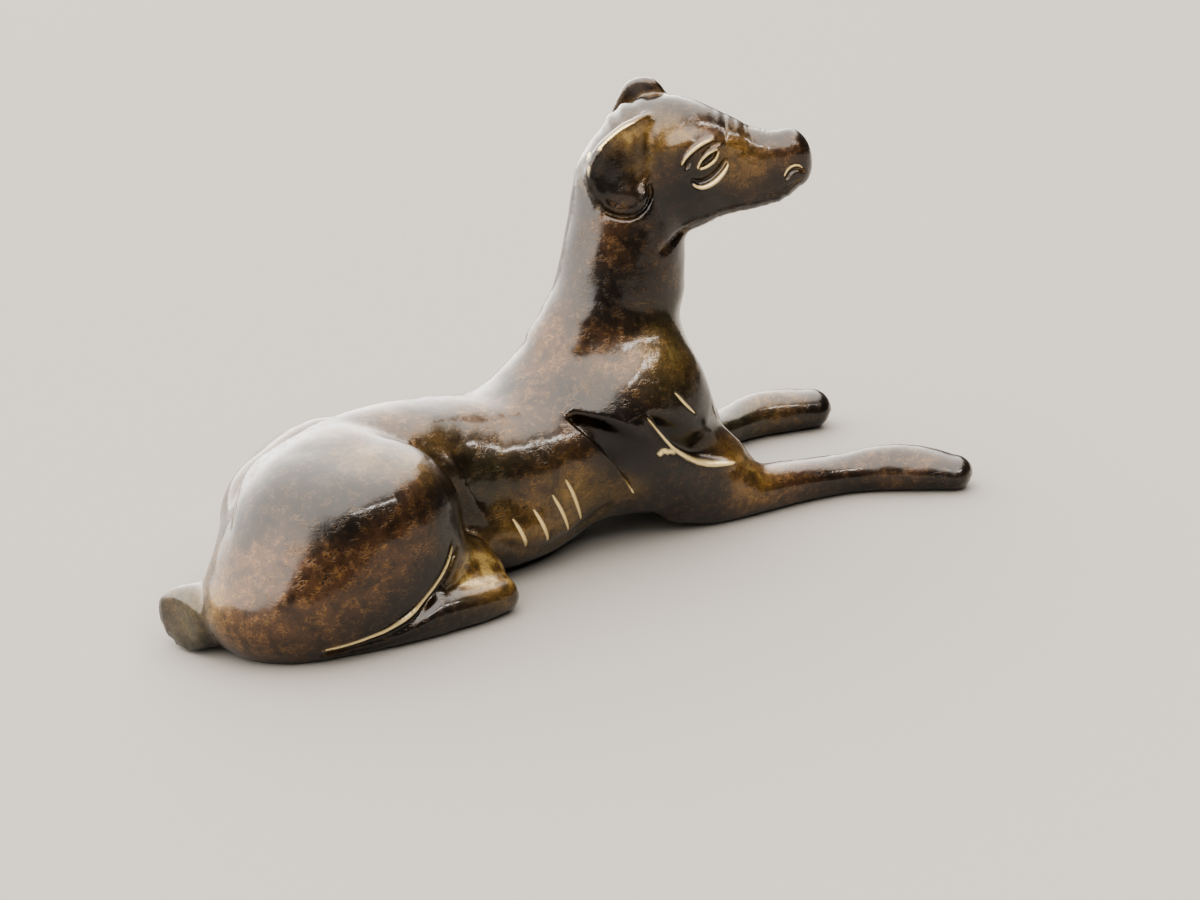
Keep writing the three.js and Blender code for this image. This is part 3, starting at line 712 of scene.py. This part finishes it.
# %% Finer faces near the carving
def wanted(p):
    """Wanted edge length in mm: finer toward the face, the ears and each mark."""
    x, y, z = p.T
    size = np.full(len(p), 2.2)
    u, v, w = to_head(p).T
    face = (z > 82) & (x > 110)
    size = np.where(face, 1.0, size)
    eye = face & (v < 0) & (u > 9) & (u < 28) & (w > 99) & (w < 119)
    nose = face & (v < 2) & (u > 34)
    size = np.where(eye | nose, 0.5, size)
    flank = (y < -10) & (x > 48) & (x < 150) & (z < 52)
    size = np.where(flank, 1.3, size)
    for points in [*RIB_CUTS, *SHOULDER_CUTS, RIB_EDGE, ARM_EDGE]:
        size = np.where(flank & (np.abs(to_line(x, z, points)[0]) < 2), 0.5, size)
    rim = face & (v < -6) & (u < 6) & (np.abs(to_outline(u, w, HANGING)) < 2.4)
    size = np.where(rim, 0.5, size)
    rump = (x < 40) & (z > 22) & (np.abs(to_line(x, y, RUMP_LINE)[0]) < 2)
    size = np.where(rump, 0.8, size)
    crease = (y < -26) & (np.abs(to_line(x, z, THIGH_CREASE)[0]) < 3.4)
    return np.where(crease, 0.6, size)


def halve(points, faces):
    """Halves each edge that is longer than wanted and splits the triangles to match."""
    pairs = np.sort(faces[:, [[0, 1], [1, 2], [2, 0]]].reshape(-1, 2), axis=1)
    code = pairs[:, 0] * len(points) + pairs[:, 1]
    unique, edge_of = np.unique(code, return_inverse=True)
    ends = np.stack([unique // len(points), unique % len(points)], 1)
    middle = points[ends].mean(1)
    long = np.linalg.norm(points[ends[:, 0]] - points[ends[:, 1]], axis=1) > 1.4 * wanted(middle)
    number = np.full(len(unique), -1)
    number[long] = len(points) + np.arange(long.sum())
    mid = number[edge_of].reshape(-1, 3)
    split = mid >= 0
    result = [faces[split.sum(1) == 0]]
    for turn in range(3):
        f, m = np.roll(faces, -turn, axis=1), np.roll(mid, -turn, axis=1)
        s = m >= 0
        one = s[:, 0] & ~s[:, 1] & ~s[:, 2]
        two = s[:, 0] & s[:, 1] & ~s[:, 2]
        a, b, c = f[one].T
        result += [np.stack([a, m[one, 0], c], 1), np.stack([m[one, 0], b, c], 1)]
        a, b, c = f[two].T
        ab, bc = m[two, 0], m[two, 1]
        result += [np.stack([ab, b, bc], 1), np.stack([a, ab, bc], 1), np.stack([a, bc, c], 1)]
    three = split.all(1)
    a, b, c = faces[three].T
    ab, bc, ca = mid[three].T
    for corner in ([a, ab, ca], [ab, b, bc], [ca, bc, c], [ab, bc, ca]):
        result.append(np.stack(corner, 1))
    return np.vstack([points, middle[long]]), np.concatenate(result)


def relax(points, faces, share=0.4):
    """Moves each point part of the way to the mean of its neighbours, which evens the faces."""
    total = np.zeros_like(points)
    count = np.zeros(len(points))
    for a, b in ((0, 1), (1, 2), (2, 0), (1, 0), (2, 1), (0, 2)):
        np.add.at(total, faces[:, a], points[faces[:, b]])
        np.add.at(count, faces[:, a], 1)
    return points + share * (total / count[:, None] - points)


for _ in range(3):
    points, faces = halve(points, faces)
    points = settle(figure, relax(points, faces), 1)
points = settle(figure, points, 1)
print("finished skin:", len(points), "points,", len(faces), "triangles")

# %% [markdown]
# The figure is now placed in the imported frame. Its own box is laid over the CAD
# box side by side, which changes its size by a few tenths of a percent at most.

# %% Into the frame
own_low, own_high = points.min(0), points.max(0)
cad_low, cad_high = (np.array(corner) for corner in cad_box)
fit = (cad_high - cad_low) / (own_high - own_low)


def placed(p):
    """Drawn millimetres to metres in the frame."""
    return cad_low + (np.asarray(p, float) - own_low) * fit


print("size over all in mm:", np.round((own_high - own_low), 2), "fit:", np.round(fit * 1000, 4))

skin = bpy.data.meshes.new("greyhound_skin")
skin.vertices.add(len(points))
skin.vertices.foreach_set("co", placed(points).ravel())
skin.loops.add(faces.size)
skin.loops.foreach_set("vertex_index", faces.ravel())
skin.polygons.add(len(faces))
skin.polygons.foreach_set("loop_start", np.arange(0, faces.size, 3))
skin.polygons.foreach_set("loop_total", np.full(len(faces), 3))
skin.update(calc_edges=True)
skin.validate()
skin.shade_smooth()
greyhound = bpy.data.objects.new("greyhound_casting", skin)
bpy.context.collection.objects.link(greyhound)
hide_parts("greyhound")
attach(greyhound, "root")

# %% [markdown]
# The finish, first as a map of where each colour lies. A patina is laid on hot
# and dark, then rubbed back by hand: high, broad places end up orange brown, the
# recesses keep a golden ochre, and some spots are olive green. Hollows and low
# places in shade are painted nearly black: painted shade. The cuts of the graver
# show bare metal, and a thin pale line on the rim of the hanging ear is a painted
# highlight. Each of these is a soft spot at a named place, kept as one number per
# point.

# %% Soft spots
def spots(p, places):
    """Sum of bell curves. Each place is x, y, z, its radius and its strength."""
    total = np.zeros(len(p))
    for x, y, z, radius, strength in places:
        total += strength * bump(np.linalg.norm(p - (x, y, z), axis=1), radius)
    return np.clip(total, 0, 1)


RUBBED = [
    [-20, -21, 26, 10, 0.8],
    [-21, -30, 10, 11, 0.9],
    [-14, -38, 18, 11, 0.8],
    [-2, -45, 16, 12, 0.8],
    [-7, -40, 29, 9, 0.5],
    [12, -46, 27, 11, 0.8],
    [26, -44, 32, 9, 0.6],
    [32, -13, 49, 14, 0.8],
    [64, -12, 45, 12, 0.6],
    [92, -6, 62, 12, 0.7],
    [108, -10, 88, 10, 0.5],
    [124, -14, 80, 10, 0.5],
    [112, -20, 56, 16, 0.5],
    [80, -20, 30, 20, 0.5],
    [165, -27, 10, 16, 0.7],
    [198, -35, 10, 13, 0.6],
    [150, -24, 16, 14, 0.9],
    [12, 36, 24, 16, 0.8],
    [10, 4, 48, 9, 0.7],
    [-8, -2, 40, 9, 0.7],
    [110, 20, 45, 18, 0.8],
    [150, 22, 12, 16, 0.6],
    [203, 34, 10, 14, 0.9],
    [70, 18, 30, 16, 0.5],
]
GOLDEN = [
    [19, -28, 51, 7, 0.6],
    [32, -33, 45, 6, 0.6],
    [47, -20, 39, 8, 0.8],
    [41, -39, 15, 7, 1.0],
    [50, -39, 12, 8, 1.0],
    [54, -37, 8, 5, 0.7],
    [144, -23, 21, 7, 0.7],
    [147, -26, 12, 7, 0.6],
    [154, -24, 13, 6, 0.5],
    [84, -24, 16, 12, 0.5],
    [66, -23, 16, 9, 0.6],
    [104, -24, 20, 6, 0.5],
    [-24, -24, 16, 5, 0.8],
    [-30, -12, 12, 6, 0.4],
    [121, -20, 54, 8, 0.8],
    [127, -17, 50, 6, 0.5],
    [88, -25, 24, 8, 0.5],
]
OLIVE = [
    [118, -21, 49, 9, 0.4],
    [-28, -16, 9, 9, 0.9],
    [44, -34, 24, 6, 0.8],
    [36, -42, 22, 8, 0.5],
    [62, -20, 34, 12, 0.6],
    [128, -18, 58, 12, 0.5],
    [190, 30, 5, 20, 0.7],
    [90, -22, 6, 14, 0.5],
]
# Painted shade: nearly black spots in the hollows of the flank, the shoulder and the thigh, on the back of
# the neck and low under the near foreleg.
PAINTED_SHADE_SPOTS = [
    [50, -22, 36, 7, 0.8],
    [41, -39, 29, 8, 0.8],
    [28, -45, 18, 7, 0.6],
    [96, -24, 38, 6, 1.0],
    [102, -24, 32, 8, 1.0],
    [109, -25, 27, 7, 0.9],
    [120, -25, 34, 5, 1.0],
    [131, -22, 32, 9, 0.8],
    [104, -16, 74, 10, 0.5],
    [176, -31, 3, 14, 0.5],
]
HEAD_GOLD = [
    [1, -11, 118, 6, 0.9],
    [-6, -13, 118, 4, 0.7],
    [0, -14, 109, 4, 0.5],
    [27, -7, 112, 5, 0.7],
    [24, -9, 103, 4, 0.6],
    [11, -10, 117, 5, 0.6],
    [33, -6, 106, 6, 0.4],
]
# Painted shade on the head: nearly black under the eye, on the hanging ear and under the muzzle.
HEAD_PAINTED_SHADE_SPOTS = [
    [14, -11, 101, 5, 1.0],
    [22, -9, 99, 4, 0.8],
    [2, -15, 98, 5, 0.9],
    [-10, -17, 106, 7, 1.0],
    [40, -7, 98, 5, 0.7],
]
HEAD_RUBBED = [
    [18, -8, 118, 8, 0.6],
    [30, -7, 108, 9, 0.8],
    [44, -3, 107, 7, 0.9],
    [4, 8, 122, 8, 0.9],
    [8, -14, 106, 5, 0.5],
]

q = to_head(points)
on_head = ease(points[:, 2], 84, 94) * ease(points[:, 0], 96, 106)
rub = np.clip(spots(points, RUBBED) + on_head * spots(q, HEAD_RUBBED), 0, 1)
gold = np.clip(spots(points, GOLDEN) + on_head * spots(q, HEAD_GOLD), 0, 1)
# The nearly black spots are painted shade.
painted_shade = np.clip(spots(points, PAINTED_SHADE_SPOTS) + on_head * spots(q, HEAD_PAINTED_SHADE_SPOTS), 0, 1)
olive = spots(points, OLIVE)
print("shares that are rubbed and golden:", np.round([rub.mean(), gold.mean()], 2))

# %% Recesses and edges
REACH = 1.6  # mm that a rubbing cloth bridges


def slopes(p):
    """Unit normals of the field by finite differences."""
    e = 0.05
    f = figure(p)
    slope = np.stack([(figure(p + e * np.eye(3)[a]) - f) / e for a in range(3)], 1)
    return slope / np.maximum(np.linalg.norm(slope, axis=1), 1e-6)[:, None]


normals = slopes(points)
hollow = np.clip(1 - figure(points + REACH * normals) / REACH, 0, 1)
proud = np.clip(1 + figure(points - REACH * normals) / REACH, 0, 1)
print("mean hollow and proud:", hollow.mean(), proud.mean())

# %% Bare metal on the cuts, and a painted highlight on the ear's rim
def near_lines(x, z, lines, width):
    """The strongest of several strokes."""
    return np.max([stroke_of(x, z, line, width) for line in lines], 0)


x, y, z = points.T
u, v, w = q.T
flank = (y < -12) & (z < 60)
bare_metal_and_rim_highlight = near_lines(x, z, RIB_CUTS, 0.6) * flank
bare_metal_and_rim_highlight = np.maximum(bare_metal_and_rim_highlight, 0.9 * near_lines(x, z, SHOULDER_CUTS, 0.5) * flank)
bare_metal_and_rim_highlight = np.maximum(bare_metal_and_rim_highlight, 0.7 * near_lines(x, z, [THIGH_CREASE], 0.9) * (y < -30))
bare_metal_and_rim_highlight = np.maximum(bare_metal_and_rim_highlight, 0.9 * near_lines(x, z, [shifted(ARM_EDGE, -0.4, -0.7)], 0.9) * flank)
bare_metal_and_rim_highlight = np.maximum(bare_metal_and_rim_highlight, near_lines(x, z, [RIB_EDGE], 0.5) * ease(30 - z, 0, 6) * flank)
bare_metal_and_rim_highlight = np.maximum(bare_metal_and_rim_highlight, near_lines(x, z, [SPUR], 0.8) * flank)
over = near_lines(x, y, [RUMP_LINE], 0.7) * ease(z, 24, 32)
bare_metal_and_rim_highlight = np.maximum(bare_metal_and_rim_highlight, 0.42 * over)
face_cuts_and_rim_highlight = near_lines(u, w, [EYE_UPPER, EYE_LOWER, BROW_ARC, NOSTRIL], 0.5) * (v < -3)
face_cuts_and_rim_highlight = np.maximum(face_cuts_and_rim_highlight, 0.9 * near_lines(u, w, [CHEEK_ARC], 0.7) * (v < -3))
# A thin pale line just inside the rim of the hanging ear, strongest at its top and back, is a painted
# highlight.
rim = bump(to_outline(u, w, smooth(HANGING)) + 0.4, 0.3) * (v < -7) * (w > 96) * (u < 3)
face_cuts_and_rim_highlight = np.maximum(face_cuts_and_rim_highlight, rim * ease(-u, -4, 4) * (0.25 + 0.6 * ease(w, 106, 112)))
bare_metal_and_rim_highlight = np.maximum(bare_metal_and_rim_highlight, face_cuts_and_rim_highlight * on_head)
print("share of bare metal:", round(float(bare_metal_and_rim_highlight.mean()), 3))

layers = dict(rub=rub, gold=gold, olive=olive, painted_shade=painted_shade, hollow=hollow, proud=proud, bare_metal_and_rim_highlight=bare_metal_and_rim_highlight)
for name, value in layers.items():
    layer = skin.attributes.new(name, "FLOAT", "POINT")
    layer.data.foreach_set("value", value.astype(np.float32))

# %% [markdown]
# The material is bronze under a brown patina under lacquer. The patina is a thin
# oxide skin that hides most of the metal, so only part of the shine is metallic.
# The lacquer has a white reflection of its own, which turns the upper haunch
# milky. A plain brown paint with gloss would lose the gold in the strokes.

# %% Colours and nodes
def linear(text):
    """sRGB hex to linear light: ((c + 0.055) / 1.055) ^ 2.4, or c / 12.92 for the darkest."""
    c = np.array([int(text[i : i + 2], 16) for i in (1, 3, 5)]) / 255
    return (*np.where(c > 0.04045, ((c + 0.055) / 1.055) ** 2.4, c / 12.92), 1.0)


def add(tree, kind, sockets=None, out=0, **settings):
    """Adds a node and gives one of its outputs. Each socket takes a value or a link."""
    node = tree.nodes.new("ShaderNode" + kind)
    for name, value in settings.items():
        setattr(node, name, value)
    for name, value in (sockets or {}).items():
        if isinstance(value, bpy.types.NodeSocket):
            tree.links.new(value, node.inputs[name])
        else:
            node.inputs[name].default_value = value
    return node.outputs[out] if len(node.outputs) else node


def material(name):
    """A new material with an empty node tree."""
    made = bpy.data.materials.new(name)
    made.use_nodes = True
    made.node_tree.nodes.clear()
    return made


bronze = material("lacquered_brown_patina_on_cast_bronze")
tree = bronze.node_tree
metres = add(tree, "TexCoord", out="Object")
place = add(tree, "Mapping", {"Vector": metres, "Scale": (1000, 1000, 1000)})
rub_here, gold_here, olive_here, painted_shade_here, hollow_here, proud_here, bare_metal_and_rim_highlight_here = (
    add(tree, "Attribute", out="Fac", attribute_name=name)
    for name in ("rub", "gold", "olive", "painted_shade", "hollow", "proud", "bare_metal_and_rim_highlight")
)
print("white paper in linear light:", linear("#f0f0f0"))

# %% Clouds, and the strokes of a stiff brush
# A stroke is a thin band where a bent noise crosses its middle value. The real
# ones are a tenth of a millimetre wide, and drawn here at three tenths to show.
cloud = add(tree, "TexNoise", {"Vector": place, "Scale": 1 / 17, "Detail": 2.5})
mottle = add(tree, "TexNoise", {"Vector": place, "Scale": 1 / 5.5, "Detail": 2.0, "Distortion": 0.5})
along = add(tree, "Mapping", {"Vector": place, "Rotation": (0.3, 0.9, 0.5), "Scale": (0.3, 1, 1)})
across = add(tree, "Mapping", {"Vector": place, "Rotation": (0.2, -0.8, 0.3), "Scale": (0.3, 1, 1)})
STROKES = [  # where, size of a curl in mm, how bent, half width as a share of the noise
    [place, 1.5, 0.9, 0.045],
    [across, 1.1, 0.6, 0.06],
    [along, 1.0, 0.5, 0.06],
    [place, 1.4, 0.9, 0.09],
]
drawn = []
for where, size, bend, half in STROKES:
    bent = add(tree, "TexNoise", {"Vector": where, "Scale": 1 / size, "Detail": 0.0, "Distortion": bend})
    off = add(tree, "Math", {0: bent, 1: 0.5}, operation="SUBTRACT")
    off = add(tree, "Math", {0: off}, operation="ABSOLUTE")
    fade = {"Value": off, "From Min": 0.0, "From Max": half, "To Min": 1.0, "To Max": 0.0}
    drawn.append(add(tree, "MapRange", fade, interpolation_type="SMOOTHSTEP"))
gaps = add(tree, "TexNoise", {"Vector": place, "Scale": 1 / 2.6, "Detail": 2.0})
broken = {"Value": gaps, "From Min": 0.44, "From Max": 0.62, "To Min": 0.0, "To Max": 1.0}
broken = add(tree, "MapRange", broken, interpolation_type="SMOOTHSTEP")
pale = add(tree, "Math", {0: drawn[0], 1: drawn[1]}, operation="MAXIMUM")
pale = add(tree, "Math", {0: pale, 1: drawn[2]}, operation="MAXIMUM")
pale = add(tree, "Math", {0: pale, 1: broken}, operation="MULTIPLY")

# %% Colour of the patina
spread = {"Value": cloud, "From Min": 0.25, "From Max": 0.75, "To Min": -0.45, "To Max": 0.45}
rubbed = add(tree, "Math", {0: rub_here, 1: add(tree, "MapRange", spread)}, operation="ADD")
rubbed = {"Value": rubbed, "From Min": 0.05, "From Max": 0.95}
rubbed = add(tree, "MapRange", rubbed, interpolation_type="SMOOTHSTEP")
blotch = {"Value": mottle, "From Min": 0.3, "From Max": 0.6, "To Min": 0.35, "To Max": 1.0}
blotch = add(tree, "MapRange", blotch, interpolation_type="SMOOTHSTEP")
rubbed = add(tree, "Math", {0: rubbed, 1: blotch}, operation="MULTIPLY")
recess = add(tree, "MapRange", {"Value": hollow_here, "From Min": 0.12, "From Max": 0.7, "To Max": 0.4})
golden = add(tree, "Math", {0: gold_here, 1: recess}, operation="ADD")
golden = add(tree, "Math", {0: golden, 1: blotch}, operation="MULTIPLY", use_clamp=True)
cream = add(tree, "MapRange", {"Value": golden, "From Min": 0.7, "From Max": 1.0, "To Max": 0.75})
tinted = add(tree, "Math", {0: olive_here, 1: blotch}, operation="MULTIPLY")
worn = add(tree, "MapRange", {"Value": proud_here, "From Min": 0.35, "From Max": 0.95, "To Max": 0.4})
# Bare metal on the cuts, and the painted highlight on the rim of the hanging ear.
cuts = add(tree, "MapRange", {"Value": bare_metal_and_rim_highlight_here, "From Min": 0.25, "From Max": 0.7})
touched = add(tree, "Math", {0: rubbed, 1: golden}, operation="ADD")
lit = add(tree, "MapRange", {"Value": touched, "From Max": 1.4, "To Min": 0.12, "To Max": 0.62})
lit = add(tree, "Math", {0: lit, 1: pale}, operation="MULTIPLY")
# The pale strokes fade where the shade is painted.
clear = add(tree, "MapRange", {"Value": painted_shade_here, "From Max": 0.9, "To Min": 1.0, "To Max": 0.1})
lit = add(tree, "Math", {0: lit, 1: clear}, operation="MULTIPLY")
sunk = add(tree, "MapRange", {"Value": drawn[3], "To Max": 0.4})
LAYERS = [  # how much of each colour lies over the ones before it
    [rubbed, "#543a25"],
    [golden, "#876a38"],
    [cream, "#b09a66"],
    [tinted, "#3d3a20"],
    # painted shade in the hollows and low places
    [painted_shade_here, "#120b08"],
    [sunk, "#150d08"],
    [lit, "#9a7443"],
    [worn, "#806038"],
    # bare metal on the cuts, and the painted highlight on the ear's rim
    [cuts, "#e4cf9c"],
]
colour = linear("#1c130d")
for share, shade in LAYERS:
    colour = add(tree, "Mix", {0: share, 6: colour, 7: linear(shade)}, out=2, data_type="RGBA")
print("layers of patina:", len(LAYERS))

# %% Shine and relief
rough = {"Value": mottle, "From Min": 0.2, "From Max": 0.8, "To Min": 0.3, "To Max": 0.46}
rough = add(tree, "MapRange", rough)
peel = add(tree, "TexNoise", {"Vector": place, "Scale": 1 / 1.7, "Detail": 2.5})
height = add(tree, "Math", {0: pale, 1: 0.35}, operation="MULTIPLY")
height = add(tree, "Math", {0: peel, 1: height}, operation="ADD")
PEEL_DEPTH = 0.00004  # metres
METAL_SHOWING = 0.45  # share of the metal that the oxide leaves open
bumped = add(tree, "Bump", {"Height": height, "Distance": PEEL_DEPTH, "Strength": 1.0})
metal = {"Base Color": colour, "Metallic": METAL_SHOWING, "Roughness": rough, "Normal": bumped}
lacquer = {"Coat Weight": 1.0, "Coat Roughness": 0.13, "Coat IOR": 1.6, "Coat Normal": bumped}
shader = add(tree, "BsdfPrincipled", {**metal, **lacquer})
add(tree, "OutputMaterial", {"Surface": shader})
skin.materials.append(bronze)
print("nodes in the patina:", len(tree.nodes))

# %% [markdown]
# The floor is a plain pale sheet, which is lit but has no gloss of its own.

# %% Floor
side = 4.0  # metres
corners = [(-side, -side, 0), (side, -side, 0), (side, side, 0), (-side, side, 0)]
floor_mesh = bpy.data.meshes.new("floor")
floor_mesh.from_pydata(corners, [], [(0, 1, 2, 3)])
floor = bpy.data.objects.new("floor", floor_mesh)
bpy.context.collection.objects.link(floor)
paper = material("matt_pale_paper")
matt = {"Base Color": linear("#93908c"), "Roughness": 0.9, "Specular IOR Level": 0.2}
sheet = add(paper.node_tree, "BsdfPrincipled", matt)
add(paper.node_tree, "OutputMaterial", {"Surface": sheet})
floor_mesh.materials.append(paper)
print("floor of", 2 * side, "m")

# %% [markdown]
# The camera stands where the photograph was taken: half a metre away, low, on
# the near side and a little behind the haunch. Its three axes are written down
# as they were worked out from the places of known points in the picture.

# %% Camera
from mathutils import Matrix, Vector

eye = Vector(placed((-223.73, -493.56, 223.17)))
axes = np.array([[0.82259, -0.56809, -0.02476], [0.20046, 0.24896, 0.94754], [-0.53212, -0.78440, 0.31868]]).T
camera_data = bpy.data.cameras.new("camera")
camera_data.sensor_width = 36.0
camera_data.lens = 64.32
camera_data.clip_start = 0.01
camera = bpy.data.objects.new("camera", camera_data)
camera.matrix_world = Matrix.Translation(eye) @ Matrix(axes.tolist()).to_4x4()
bpy.context.collection.objects.link(camera)
bpy.context.scene.camera = camera
print("camera to the middle of the figure in mm:", round((eye - Vector((0.015, 0.001, 0.023))).length * 1000))

# %% [markdown]
# A glossy figure is lit by what it mirrors, so the light is a broad soft dome. It
# is bright behind, to the left and overhead, and dark on the camera's side, which
# is where the highlights and the dark places of the bronze point. A narrow strip
# in front adds the few crisp glints along the haunch, the withers and the nose.

# %% Light
DOME = [math.radians(135), math.radians(50)]  # azimuth from +X and elevation of its middle
middle = (math.cos(DOME[0]) * math.cos(DOME[1]), math.sin(DOME[0]) * math.cos(DOME[1]), math.sin(DOME[1]))
world = bpy.data.worlds.new("studio")
world.use_nodes = True
sky = world.node_tree
sky.nodes.clear()
direction = add(sky, "TexCoord", out="Generated")
facing = add(sky, "VectorMath", {0: direction, 1: middle}, out="Value", operation="DOT_PRODUCT")
glow = {"Value": facing, "From Min": 0.08, "From Max": 0.28, "To Min": 0.12, "To Max": 3.6}
glow = add(sky, "MapRange", glow, interpolation_type="SMOOTHSTEP")
background = add(sky, "Background", {"Color": linear("#f6f1ea"), "Strength": glow})
add(sky, "OutputWorld", {"Surface": background})
bpy.context.scene.world = world


def panel(name, azimuth, elevation, distance, width, height, power, shade):
    """An area light at an azimuth from +X toward +Y, facing the figure."""
    a, e = np.radians([azimuth, elevation])
    way = Vector((math.cos(a) * math.cos(e), math.sin(a) * math.cos(e), math.sin(e)))
    lamp = bpy.data.lights.new(name, "AREA")
    lamp.shape = "RECTANGLE"
    lamp.size, lamp.size_y = width, height
    lamp.energy = power
    lamp.color = linear(shade)[:3]
    made = bpy.data.objects.new(name, lamp)
    made.location = way * distance + Vector((0, 0, 0.04))
    made.rotation_euler = way.to_track_quat("Z", "Y").to_euler()
    bpy.context.collection.objects.link(made)


panel("strip_in_front", -72, 40, 1.2, 0.7, 0.08, 2.2, "#fffaf4")
bpy.context.scene.view_settings.look = "AgX - High Contrast"
print("dome toward", [round(c, 2) for c in middle])
